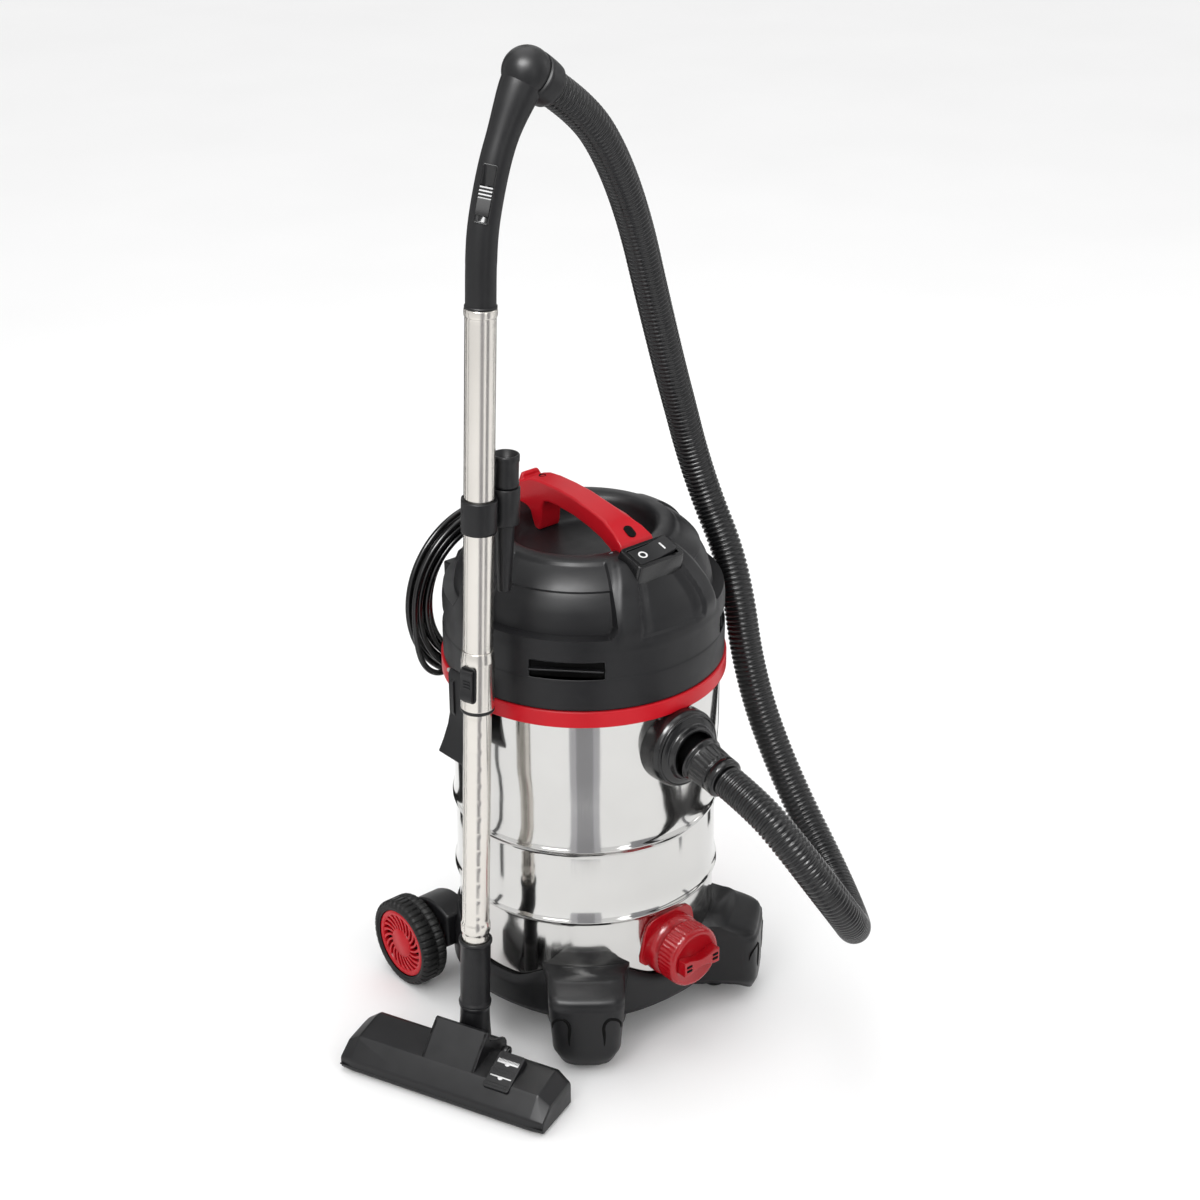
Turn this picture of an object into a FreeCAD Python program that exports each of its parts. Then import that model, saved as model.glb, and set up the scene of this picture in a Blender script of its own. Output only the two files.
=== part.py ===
"""A wet and dry shop vacuum: a steel drum on a wheeled base, a motor head held by two side
latches, a corrugated hose, and a telescopic wand with a floor nozzle parked at its left side.

The drum's axis is the design axis, the inlet faces the front (-Y) and the floor is at Z = 0.
Every sub-part is drawn about that axis, or in the wand's or nozzle's own frame, and is then
moved by ROW, so that the origin lies under the middle of the object, on the floor.
"""
import FreeCAD, Part
import math
import os

import Sketcher

os.makedirs("parts", exist_ok=True)
doc = FreeCAD.newDocument("shop_vacuum")

SPEC = {
    # where the drum's axis stands in the row's frame
    "axis_x": 85.0,
    "axis_y": 20.9,
    # drum and its red rim band
    "drum_wall": 1.2,
    "drum_floor_z": 91.0,
    "drum_rim_z": 488.0,
    "drum_r": 172.0,
    "drum_waist_r": 168.5,
    "drum_foot_r": 167.0,
    "rib_r": 172.5,
    "rib_lower_z": 188.0,
    "rib_upper_z": 291.5,
    "band_r": 180.0,
    "band_z": 471.0,
    "band_top_z": 493.0,
    # wheeled base
    "deck_under_z": 84.0,
    "base_r": 175.0,
    "base_low_z": 50.0,
    "base_high_z": 96.0,
    "shoe_r": 234.0,
    "shoe_width": 90.0,
    "shoe_wall": 4.0,
    "shoe_low_z": 12.0,
    "shoe_angle": 40.0,
    "pivot_r": 190.0,
    "stem_r": 5.0,
    "running_gap": 0.05,
    "caster_r": 20.0,
    "caster_width": 15.0,
    "caster_trail": 15.0,
    "caster_pin_r": 3.0,
    # rear wheels
    "axle_y": 141.0,
    "axle_z": 60.0,
    "axle_r": 5.0,
    "axle_half": 202.0,
    "wheel_x": 170.0,
    "wheel_width": 38.0,
    "tyre_r": 60.0,
    "disc_r": 47.0,
    # hose inlet
    "inlet_z": 424.0,
    "inlet_bore_r": 28.0,
    "inlet_spigot_r": 31.0,
    "flange_r": 50.0,
    "cuff_y": 206.0,
    "cuff_tilt": 12.0,
    "cuff_length": 60.0,
    "hose_r": 21.0,
    "hose_bore_r": 17.0,
    # drain
    "drain_z": 130.0,
    "drain_bore_r": 26.0,
    "drain_neck_r": 34.0,
    "drain_cap_r": 41.0,
    "drain_spigot_r": 30.0,
    # motor head
    "head_z": 493.3,
    "skirt_r": 177.0,
    "skirt_top_z": 572.0,
    "cover_wall": 3.0,
    "bowl_r": 88.0,
    "bowl_z": 632.0,
    "bowl_rim_z": 657.0,
    "floor_top_z": 497.3,
    "fan_r": 80.0,
    "fan_top_z": 519.8,
    "motor_r": 58.0,
    "motor_top_z": 606.0,
    "shaft_r": 5.4,
    "impeller_r": 72.0,
    "port_r": 19.0,
    "port_z": 545.0,
    # filter and float under the head
    "cage_r": 35.0,
    "cage_low_z": 396.0,
    "stud_r": 6.0,
    "ball_r": 24.0,
    "filter_in_r": 44.0,
    "filter_r": 68.0,
    "filter_low_z": 332.0,
    "filter_top_z": 488.5,
    # latches
    "latch_x": 185.0,
    "latch_z": 506.0,
    "latch_half": 34.0,
    "latch_pin_r": 2.5,
    # switch
    "switch_y": -126.0,
    "switch_z": 658.0,
    "switch_slope": 17.0,
    # cable coil
    "cable_r": 4.0,
    "coil_r": 125.0,
    "coil_bore_r": 90.0,
    "coil_y": 190.0,
    "coil_depth": 29.0,
    "coil_z": 500.0,
    # wand
    "wand_x": -244.3,
    "wand_y": -68.0,
    "wand_lean": 2.54,
    "tube_r": 18.0,
    "tube_bore_r": 17.0,
    "inner_r": 16.9,
    "inner_wall": 1.0,
    "inner_top": 640.0,
    "socket_low": 512.0,
    "socket_r": 20.0,
    "tube_top": 1001.0,
    "grip_r": 17.8,
    "elbow_r": 28.0,
    "elbow_x": 60.0,
    "elbow_top": 1252.0,
    "mouth_r": 25.0,
    "mouth_slope": 32.0,
    "mouth_reach": 36.0,
    "holder_x": 38.0,
    # floor nozzle
    "nozzle_x": -242.8,
    "nozzle_turn": -68.3,
    "nozzle_half": 147.0,
    "neck_z": 35.0,
    "barrel_r": 15.0,
    "neck_pin_r": 5.0,
    "pedal_pin_r": 1.8,
    "nozzle_wheel_r": 7.0,
}

sheet = doc.addObject("Spreadsheet::Sheet", "Spec")
for row, (word, value) in enumerate(SPEC.items(), start=1):
    sheet.set(f"A{row}", word)
    sheet.set(f"B{row}", str(value))
    sheet.setAlias(f"B{row}", word)
doc.recompute()

X_AXIS = FreeCAD.Vector(1, 0, 0)
Y_AXIS = FreeCAD.Vector(0, 1, 0)
Z_AXIS = FreeCAD.Vector(0, 0, 1)


# ---------------------------------------------------------------- sizes and places

def number(size):
    """The value of a size written as a sum of cells and numbers, such as "drum_r - drum_wall"."""
    total = 0.0
    sign = 1
    for term in str(size).split():
        if term in ("+", "-"):
            sign = 1 if term == "+" else -1
            continue
        product = 1.0
        for factor in term.split("*"):
            product *= SPEC[factor] if factor in SPEC else float(factor)
        total += sign * product
        sign = 1
    return total


def formula(size):
    """The same sum as an expression on the spreadsheet."""
    terms = []
    for term in str(size).split():
        factors = [f"Spec.{f}" if f in SPEC else f for f in term.split("*")]
        terms.append("*".join(factors))
    return " ".join(terms)


def bind(item, prop, size):
    """Ties one size of an object to the spreadsheet."""
    setattr(item, prop, number(size))
    item.setExpression(prop, formula(size))


def point(x, y, z):
    return FreeCAD.Vector(number(x), number(y), number(z))


def spot(x=0, y=0, z=0, axis=Z_AXIS, angle=0):
    """A place: a turn about an axis, then a move."""
    return FreeCAD.Placement(point(x, y, z), FreeCAD.Rotation(axis, number(angle)))


ROW = spot("axis_x", "axis_y")
FRONT = spot(axis=X_AXIS, angle=90)  # turns local Z to face the front, -Y
REAR = spot(axis=X_AXIS, angle=-90)  # turns local Z to face the rear, +Y
WAND = spot("wand_x", "wand_y", 0, Y_AXIS, "wand_lean")
NOZZLE = spot("nozzle_x", "wand_y", 0, Z_AXIS, "nozzle_turn")
SWITCH = spot(0, "switch_y", "switch_z", X_AXIS, "switch_slope")
ROCKER = SWITCH.multiply(spot(0, 0, 10, Y_AXIS, -7))


# ---------------------------------------------------------------- ways to make a shape

def origin_plane(body, role):
    return next(item for item in body.Origin.OriginFeatures if item.Role == role)


def outline(body, role, corners):
    """A closed sketch of straight lines, with every corner held by the spreadsheet."""
    sketch = body.newObject("Sketcher::SketchObject", body.Name + "_sketch")
    sketch.AttachmentSupport = (origin_plane(body, role), [""])
    sketch.MapMode = "FlatFace"
    places = [point(across, up, 0) for across, up in corners]
    for i, place in enumerate(places):
        sketch.addGeometry(Part.LineSegment(place, places[(i + 1) % len(places)]), False)
    for i in range(len(places)):
        following = (i + 1) % len(places)
        sketch.addConstraint(Sketcher.Constraint("Coincident", i, 2, following, 1))
    for i, corner in enumerate(corners):
        for kind, size, axis in zip(("DistanceX", "DistanceY"), corner, (-2, -1)):
            if number(size) == 0:
                sketch.addConstraint(Sketcher.Constraint("PointOnObject", i, 1, axis))
                continue
            held = Sketcher.Constraint(kind, -1, 1, i, 1, number(size))
            index = sketch.addConstraint(held)
            sketch.setExpression(f"Constraints[{index}]", formula(size))
    return sketch


def turned(name, corners, place=None):
    """A solid of revolution about local Z. The corners are (radius, height)."""
    body = doc.addObject("PartDesign::Body", name)
    sketch = outline(body, "XZ_Plane", corners)
    turn = body.newObject("PartDesign::Revolution", name + "_turn")
    turn.Profile = sketch
    turn.ReferenceAxis = (sketch, ["V_Axis"])
    turn.Angle = 360
    body.Placement = place or FreeCAD.Placement()
    return body


def slab(name, role, corners, width, place=None):
    """An outline on an origin plane, thickened evenly to both sides of it."""
    body = doc.addObject("PartDesign::Body", name)
    sketch = outline(body, role, corners)
    pad = body.newObject("PartDesign::Pad", name + "_pad")
    pad.Profile = sketch
    pad.Midplane = True
    bind(pad, "Length", width)
    body.Placement = place or FreeCAD.Placement()
    return body


def block(name, low, high, place=None):
    """A box between two corners."""
    box = doc.addObject("Part::Box", name)
    for prop, start, end in zip(("Length", "Width", "Height"), low, high):
        bind(box, prop, number(end) - number(start))
    corner = FreeCAD.Placement(point(*low), FreeCAD.Rotation())
    box.Placement = (place or FreeCAD.Placement()).multiply(corner)
    return box


def rod(name, radius, start, end, place=None):
    """A cylinder from one point to another."""
    a, b = point(*start), point(*end)
    cylinder = doc.addObject("Part::Cylinder", name)
    bind(cylinder, "Radius", radius)
    bind(cylinder, "Height", (b - a).Length)
    own = FreeCAD.Placement(a, FreeCAD.Rotation(Z_AXIS, b - a))
    cylinder.Placement = (place or FreeCAD.Placement()).multiply(own)
    return cylinder


def ball(name, radius, centre, place=None):
    sphere = doc.addObject("Part::Sphere", name)
    bind(sphere, "Radius", radius)
    own = FreeCAD.Placement(point(*centre), FreeCAD.Rotation())
    sphere.Placement = (place or FreeCAD.Placement()).multiply(own)
    return sphere


def joined(name, items):
    fuse = doc.addObject("Part::MultiFuse", name)
    fuse.Shapes = items
    fuse.Refine = True
    return fuse


def group(name, items):
    """Separate solids, such as identical screws, kept together."""
    made = doc.addObject("Part::Compound", name)
    made.Links = items
    return made


def carved(name, base, tools):
    cut = doc.addObject("Part::Cut", name)
    cut.Base = base
    cut.Tool = tools[0] if len(tools) == 1 else joined(name + "_tools", tools)
    return cut


def shared(name, first, second):
    common = doc.addObject("Part::MultiCommon", name)
    common.Shapes = [first, second]
    return common


kept = []


def keep(label, item, place=None):
    """Makes an object one of the vacuum's sub-parts and moves it to its place in the row."""
    item.Label = label
    move = ROW.multiply(place) if place else ROW
    item.Placement = move.multiply(item.Placement)
    kept.append(item)
    return item


# ---------------------------------------------------------------- cords

def rounded_path(points):
    """Straight runs joined by tangent arcs, each as large as its two runs allow."""
    edges = []
    radii = []
    last = points[0]
    for before, corner, after in zip(points[:-2], points[1:-1], points[2:]):
        back, ahead = before - corner, after - corner
        reach = 0.45 * min(back.Length, ahead.Length)
        half = (math.pi - back.getAngle(ahead)) / 2
        radius = reach / math.tan(half)
        back.normalize()
        ahead.normalize()
        start, end = corner + back * reach, corner + ahead * reach
        inward = (back + ahead).normalize()
        middle = corner + inward * (radius / math.cos(half) - radius)
        edges.append(Part.LineSegment(last, start).toShape())
        edges.append(Part.Arc(start, middle, end).toShape())
        radii.append(radius)
        last = end
    edges.append(Part.LineSegment(last, points[-1]).toShape())
    return Part.Wire(edges), radii


def cord(label, route, radius):
    """A plain round tube along a route, which is given as points in millimetres."""
    points = [FreeCAD.Vector(*place) for place in route]
    path, radii = rounded_path(points)
    circle = Part.Circle(points[0], points[1] - points[0], number(radius))
    solid = path.makePipeShell([Part.Wire(circle.toShape())], True, False)
    made = doc.addObject("Part::Feature", label)
    made.Shape = solid
    share = solid.Volume / (math.pi * number(radius) ** 2 * path.Length)
    print(f"{label}: {path.Length:.0f} mm long, volume / (section x length) = {share:.4f}")
    print("  radii in diameters:", [round(r / 2 / number(radius), 1) for r in radii])
    return keep(label, made)


# ---------------------------------------------------------------- drum

def drum():
    outer = [
        (0, "drum_floor_z"),
        ("drum_foot_r - 5", "drum_floor_z"),
        ("drum_foot_r", "drum_floor_z + 5"),
        ("drum_foot_r", "rib_lower_z - 7"),
        ("rib_r", "rib_lower_z - 1"),
        ("rib_r", "rib_lower_z + 2"),
        ("drum_waist_r", "rib_lower_z + 24"),
        ("drum_waist_r", "rib_upper_z - 7"),
        ("rib_r", "rib_upper_z - 1"),
        ("rib_r", "rib_upper_z + 2"),
        ("drum_waist_r", "rib_upper_z + 26"),
        ("drum_r", "rib_upper_z + 90"),
        ("drum_r", "drum_rim_z"),
    ]
    inner = [(f"{radius} - drum_wall", height) for radius, height in reversed(outer[3:])]
    inner.append(("drum_foot_r - drum_wall", "drum_floor_z + 5.5"))
    inner.append(("drum_foot_r - 5.5", "drum_floor_z + drum_wall"))
    inner.append((0, "drum_floor_z + drum_wall"))
    shell = turned("drum_shell", outer + inner)
    inlet = rod("drum_inlet_hole", "inlet_spigot_r + 0.3", (0, 0, "inlet_z"), (0, -200, "inlet_z"))
    drain = rod("drum_drain_hole", "drain_spigot_r + 0.3", (0, 0, "drain_z"), (0, -200, "drain_z"))
    keep("drum", carved("drum_cut", shell, [inlet, drain]))
    keep("rim_band", turned("band_ring", [
        ("drum_r + 0.1", "band_z"),
        ("band_r", "band_z"),
        ("band_r", "band_top_z"),
        ("drum_r + 0.1", "band_top_z"),
    ]))


# ---------------------------------------------------------------- wheeled base

SIDES = {"left": -1, "right": 1}


def shoe_place(side):
    """The frame of a caster housing: local X runs outward from the drum's axis."""
    return spot(axis=Z_AXIS, angle=-90 + SIDES[side] * SPEC["shoe_angle"])


def base():
    ring = turned("base_ring", [
        (0, "deck_under_z"),
        ("base_r - 12", "deck_under_z"),
        ("base_r - 12", "base_low_z"),
        ("base_r", "base_low_z"),
        ("base_r", "base_high_z"),
        ("drum_foot_r + 0.8", "base_high_z"),
        ("drum_foot_r + 0.8", "drum_floor_z"),
        (0, "drum_floor_z"),
    ])
    solids = [ring]
    hollows = [rod("drain_recess", "drain_cap_r + 3", (0, -120, "drain_z"), (0, -250, "drain_z"))]
    bosses = []
    bores = [rod("axle_bore", "axle_r", (-190, "axle_y", "axle_z"), (190, "axle_y", "axle_z"))]
    for side, sign in SIDES.items():
        place = shoe_place(side)
        solids.append(slab(f"{side}_shoe", "XZ_Plane", [
            (152, "shoe_low_z"),
            ("shoe_r", "shoe_low_z"),
            ("shoe_r - 1", 70),
            ("shoe_r - 8", 92),
            ("shoe_r - 28", 106),
            ("base_r + 1", 124),
            (152, 124),
        ], "shoe_width", place))
        hollows.append(slab(f"{side}_shoe_hollow", "XZ_Plane", [
            (148, -5),
            ("shoe_r - shoe_wall", -5),
            ("shoe_r - shoe_wall - 1", 68),
            ("shoe_r - shoe_wall - 12", "deck_under_z"),
            (148, "deck_under_z"),
        ], "shoe_width - 2*shoe_wall", place))
        bosses.append(rod(f"{side}_boss", 11, ("pivot_r", 0, 54), ("pivot_r", 0, 88), place))
        bores.append(rod(f"{side}_stem_bore", "stem_r + running_gap",
                         ("pivot_r", 0, 50), ("pivot_r", 0, 83), place))
        arm_x = f"{sign}*147.5"
        solids.append(slab(f"{side}_arm", "YZ_Plane", [
            (92, 66),
            ("axle_y - 20", 38),
            ("axle_y + 20", 38),
            ("axle_y + 30", 50),
            ("axle_y + 30", 92),
            ("axle_y + 16", 112),
            ("axle_y - 16", 118),
            (92, 108),
        ], 41, spot(arm_x)))
    hollows.append(drum_side("base_drum_seat", "drum_foot_r + 0.8", "drum_floor_z", 220))
    frame = carved("base_hollowed", joined("base_solids", solids), hollows)
    bossed = joined("base_bossed", [frame, *bosses])
    keep("base", carved("base_bored", bossed, bores))
    keep("rear_axle", rod("axle_rod", "axle_r", ("0 - axle_half", "axle_y", "axle_z"),
                          ("axle_half", "axle_y", "axle_z")))


def rear_wheel(side):
    sign = SIDES[side]
    place = spot(f"{sign}*wheel_x", "axle_y", "axle_z", Y_AXIS, 90 * sign)
    keep(f"{side}_tyre", turned(f"{side}_tyre_ring", [
        ("disc_r + 0.1", 0),
        ("tyre_r - 4", 0),
        ("tyre_r", 4),
        ("tyre_r", "wheel_width - 4"),
        ("tyre_r - 4", "wheel_width"),
        ("disc_r + 0.1", "wheel_width"),
    ], place))
    keep(f"{side}_wheel_disc", turned(f"{side}_disc", [
        (0, 33),
        ("axle_r + running_gap", 33),
        ("axle_r + running_gap", 2),
        (14, 2),
        (14, 27),
        ("disc_r - 4", 27),
        ("disc_r - 4", 4),
        ("disc_r", 4),
        ("disc_r", 34),
        (0, 36),
    ], place))


CASTER_TURN = {"left": -103, "right": 150}  # the way each caster trails, in degrees from +X


def caster(side):
    pivot = shoe_place(side).multVec(point("pivot_r", 0, 0))
    place = spot(pivot.x, pivot.y, 0, Z_AXIS, CASTER_TURN[side])
    inner = number("caster_width") / 2 + 1
    outer = inner + 3
    parts = [
        rod(f"{side}_stem", "stem_r", (0, 0, 44), (0, 0, 81)),
        rod(f"{side}_fork_disc", 11.4, (0, 0, 44), (0, 0, 53.6)),
        block(f"{side}_fork_top", (-8, -outer, 42), ("caster_trail + 6", outer, 46)),
    ]
    for sign in (-1, 1):
        low, high = sorted((sign * inner, sign * outer))
        parts.append(block(f"{side}_cheek_{sign + 1}", (-8, low, 14), ("caster_trail + 6", high, 44)))
    pin_start = ("caster_trail", -outer, "caster_r")
    pin_end = ("caster_trail", outer, "caster_r")
    bore = rod(f"{side}_fork_bore", "caster_pin_r + running_gap",
               ("caster_trail", -outer - 1, "caster_r"), ("caster_trail", outer + 1, "caster_r"))
    fork = carved(f"{side}_fork_cut", joined(f"{side}_fork_solid", parts), [bore])
    keep(f"{side}_caster_fork", fork, place)
    keep(f"{side}_caster_pin", rod(f"{side}_pin_rod", "caster_pin_r", pin_start, pin_end), place)
    half = "0.5*caster_width"
    wheel = turned(f"{side}_caster_round", [
        ("caster_pin_r + running_gap", f"0 - {half}"),
        ("caster_r - 2", f"0 - {half}"),
        ("caster_r", f"2 - {half}"),
        ("caster_r", f"{half} - 2"),
        ("caster_r - 2", half),
        ("caster_pin_r + running_gap", half),
    ], spot("caster_trail", 0, "caster_r", X_AXIS, 90))
    keep(f"{side}_caster_wheel", wheel, place)


# ---------------------------------------------------------------- inlet, drain

def drum_side(name, radius, low=0, high=600):
    """A plug of the drum's own curve, to shape what is fastened to its wall."""
    return rod(name, radius, (0, 0, low), (0, 0, high))


def inlet():
    place = spot(0, 0, "inlet_z").multiply(FRONT)
    body = turned("inlet_body", [
        ("inlet_bore_r", 160),
        ("flange_r", 160),
        ("flange_r", 190),
        ("flange_r - 6", 200),
        ("flange_r - 16", 203),
        ("flange_r - 16", 209),
        ("inlet_bore_r", 209),
    ], place)
    outside = carved("inlet_outside", body, [
        drum_side("inlet_drum_curve", "drum_r + 1.2"),
        drum_side("inlet_band_curve", "band_r + 0.4", "band_z - 0.4"),
    ])
    spigot = turned("inlet_spigot", [
        ("inlet_bore_r", 140),
        ("inlet_spigot_r", 140),
        ("inlet_spigot_r", 180),
        ("inlet_bore_r", 180),
    ], place)
    keep("inlet_flange", joined("inlet_flange_solid", [outside, spigot]))
    ring = turned("inlet_gasket_ring", [
        ("inlet_spigot_r + 0.2", 150),
        ("flange_r - 4", 150),
        ("flange_r - 4", 190),
        ("inlet_spigot_r + 0.2", 190),
    ], place)
    inside = shared("inlet_gasket_in", ring, drum_side("gasket_outer_curve", "drum_r + 1.1"))
    keep("inlet_gasket", carved("inlet_gasket_cut", inside,
                                [drum_side("gasket_inner_curve", "drum_r + 0.1")]))


CUFF = spot(0, "0 - cuff_y", "inlet_z", X_AXIS, "90 + cuff_tilt")


def hose_cuff():
    keep("hose_cuff", turned("cuff_solid", [
        ("hose_bore_r", -12),
        (22, -12),
        (22, 11),
        (30, 11),
        (30, 16),
        (26.5, 18),
        (25, "cuff_length - 16"),
        (25.5, "cuff_length - 15"),
        (25, "cuff_length"),
        ("hose_bore_r", "cuff_length"),
    ], CUFF))


def drain():
    place = spot(0, 0, "drain_z").multiply(FRONT)
    neck = turned("drain_neck", [
        ("drain_bore_r", 150),
        ("drain_cap_r + 1", 150),
        ("drain_cap_r + 1", 181),
        ("drain_neck_r", 184),
        ("drain_neck_r", 204),
        ("drain_bore_r", 204),
    ], place)
    outside = carved("drain_outside", neck, [
        drum_side("drain_drum_curve", "drum_foot_r + 0.1"),
        drum_side("drain_rib_curve", "rib_r + 0.2", "rib_lower_z - 8", "rib_lower_z + 30"),
        drum_side("drain_base_curve", "base_r + 0.3", 0, "base_high_z + 1"),
    ])
    spigot = turned("drain_spigot", [
        ("drain_bore_r", 155),
        ("drain_spigot_r", 155),
        ("drain_spigot_r", 182),
        ("drain_bore_r", 182),
    ], place)
    keep("drain_port", joined("drain_port_solid", [outside, spigot]))
    cap = turned("drain_cap_cup", [
        (0, 206),
        ("drain_neck_r + running_gap", 206),
        ("drain_neck_r + running_gap", 188),
        ("drain_cap_r", 188),
        ("drain_cap_r", 212),
        ("drain_cap_r - 4", 217),
        (0, 217),
    ], place)
    grip = block("drain_cap_grip", (-30, -7, 215), (30, 7, 229), place)
    keep("drain_cap", joined("drain_cap_solid", [cap, grip]))


# ---------------------------------------------------------------- motor head

COVER_OUTER = [
    ("skirt_r", "head_z"),
    ("skirt_r", "skirt_top_z"),
    (172, 596),
    (155, 628),
    (134, 651),
    (112, 661),
    ("bowl_r + 6", "bowl_rim_z + 2"),
    ("bowl_r", "bowl_rim_z"),
    ("bowl_r - 10", "bowl_z + 4"),
    ("bowl_r - 22", "bowl_z"),
    (0, "bowl_z"),
]


def cover_form(name):
    """The space inside the cover's outer surface, to trim what is fastened on it."""
    return turned(name, [*COVER_OUTER, (0, "head_z")])


def head_cover():
    inner = [(0, "bowl_z - cover_wall"), ("bowl_r - 20", "bowl_z - cover_wall"),
             ("bowl_r - 7", "bowl_z + 1"), ("bowl_r + 3", "bowl_rim_z - 4"),
             (111, 657.5), (132, 648), (152.5, 625.5), (169.2, 594.5)]
    inner += [("skirt_r - cover_wall", "skirt_top_z"), ("skirt_r - cover_wall", "head_z")]
    shell = turned("cover_shell", COVER_OUTER + inner)
    lugs = []
    tools = []
    for side, sign in SIDES.items():
        for edge in (-1, 1):
            near = edge * (number("latch_half") + 0.3)
            far = edge * (number("latch_half") + 3.8)
            x_low, x_high = sorted((sign * 166.0, sign * 188.0))
            y_low, y_high = sorted((near, far))
            lugs.append(block(f"{side}_lug_{edge + 1}", (x_low, y_low, 499), (x_high, y_high, 513)))
        tools.append(rod(f"{side}_lug_bore", "latch_pin_r + running_gap",
                         (f"{sign}*latch_x", -60, "latch_z"), (f"{sign}*latch_x", 60, "latch_z")))
    for turn in (-137, -43, 43, 137):
        place = spot(axis=Z_AXIS, angle=turn)
        tools.append(block(f"vent_{turn + 200}", (150, -45, 536), (190, 45, 555), place))
    tools.append(block("switch_hole", (-30, -14, -40), (30, 14, 12), SWITCH))
    tools.append(rod("port_hole", "port_r + 4", (0, 140, "port_z"), (0, 200, "port_z")))
    inside = drum_side("cover_inside", "skirt_r - cover_wall", 490, 520)
    lug_solids = carved("lug_ends", joined("lugs_all", lugs), [inside])
    keep("head_cover", carved("cover_cut", joined("cover_lugged", [shell, lug_solids]), tools))


def head_floor():
    keep("head_floor", turned("floor_plate", [
        (46, "head_z"),
        ("skirt_r - cover_wall", "head_z"),
        ("skirt_r - cover_wall", "floor_top_z"),
        (46, "floor_top_z"),
    ]))
    keep("lid_gasket", turned("gasket_ring", [
        (158, "drum_rim_z + 0.3"),
        ("drum_r - 0.2", "drum_rim_z + 0.3"),
        ("drum_r - 0.2", "head_z"),
        (158, "head_z"),
    ]))


def motor():
    keep("fan_housing", turned("fan_shell", [
        (46, "floor_top_z"),
        ("fan_r", "floor_top_z"),
        ("fan_r", "fan_top_z"),
        (8, "fan_top_z"),
        (8, "fan_top_z - 3"),
        ("fan_r - 3", "fan_top_z - 3"),
        ("fan_r - 3", "floor_top_z + 3"),
        (46, "floor_top_z + 3"),
    ]))
    keep("impeller", turned("impeller_disc", [
        (0, 502),
        ("impeller_r", 502),
        ("impeller_r", 514),
        ("shaft_r", 514),
        ("shaft_r", 540),
        (0, 540),
    ]))
    keep("motor", turned("motor_can", [
        ("shaft_r + running_gap", "fan_top_z"),
        ("motor_r", "fan_top_z"),
        ("motor_r", "motor_top_z - 8"),
        ("motor_r - 8", "motor_top_z"),
        (0, "motor_top_z"),
        (0, 546),
        ("shaft_r + running_gap", 546),
    ]))


def filter_parts():
    keep("float_cage", turned("cage_shell", [
        (0, "cage_low_z - 70"),
        ("stud_r", "cage_low_z - 70"),
        ("stud_r", "cage_low_z"),
        ("cage_r", "cage_low_z"),
        ("cage_r", 489),
        (50, 489),
        (50, "head_z"),
        ("cage_r - 3", "head_z"),
        ("cage_r - 3", "cage_low_z + 4"),
        (0, "cage_low_z + 4"),
    ]))
    keep("float_ball", ball("float_sphere", "ball_r", (0, 0, "cage_low_z + 4.3 + ball_r")))
    keep("filter_cartridge", turned("filter_ring", [
        ("filter_in_r", "filter_low_z"),
        ("filter_r", "filter_low_z"),
        ("filter_r", "filter_top_z"),
        ("filter_in_r", "filter_top_z"),
    ]))
    disc = turned("filter_knob_disc", [
        ("stud_r + running_gap", "filter_low_z - 12"),
        (52, "filter_low_z - 12"),
        (56, "filter_low_z - 8"),
        (56, "filter_low_z - 0.3"),
        ("stud_r + running_gap", "filter_low_z - 0.3"),
    ])
    keep("filter_knob", disc)


def latch(side):
    sign = SIDES[side]
    turn = spot(axis=Z_AXIS, angle=0 if sign > 0 else 180)
    lever = slab(f"{side}_lever", "XZ_Plane", [
        (181, 502),
        (181, 440),
        (184, 424),
        (195, 408),
        (205, 399),
        (209, 402),
        (200, 418),
        (192, 436),
        (189.5, 450),
        (189.7, 506),
        (187, 510.5),
        (182.5, 510.5),
    ], "2*latch_half", turn)
    bore = rod(f"{side}_lever_bore", "latch_pin_r + running_gap",
               (f"{sign}*latch_x", -50, "latch_z"), (f"{sign}*latch_x", 50, "latch_z"))
    keep(f"{side}_latch", carved(f"{side}_latch_cut", lever, [bore]))


def latch_pins():
    pins = []
    for side, sign in SIDES.items():
        x = f"{sign}*latch_x"
        pins.append(rod(f"{side}_latch_pin", "latch_pin_r", (x, "0 - latch_half - 3.8", "latch_z"),
                        (x, "latch_half + 3.8", "latch_z")))
    keep("latch_pins", group("latch_pin_pair", pins))


def switch():
    shell = block("switch_body", (-34, -19, -22), (34, 19, 9), SWITCH)
    well = block("switch_well", (-29.5, -13.5, -30), (29.5, 13.5, 12), SWITCH)
    keep("switch_box", carved("switch_cut", shell, [well, cover_form("switch_seat")]))
    keep("switch_rocker", slab("rocker_solid", "XZ_Plane", [
        (-28.5, 0),
        (-28.5, 2),
        (0, -1),
        (28.5, 2),
        (28.5, 0),
        (10, -12),
        (-10, -12),
    ], 26), ROCKER)


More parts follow.
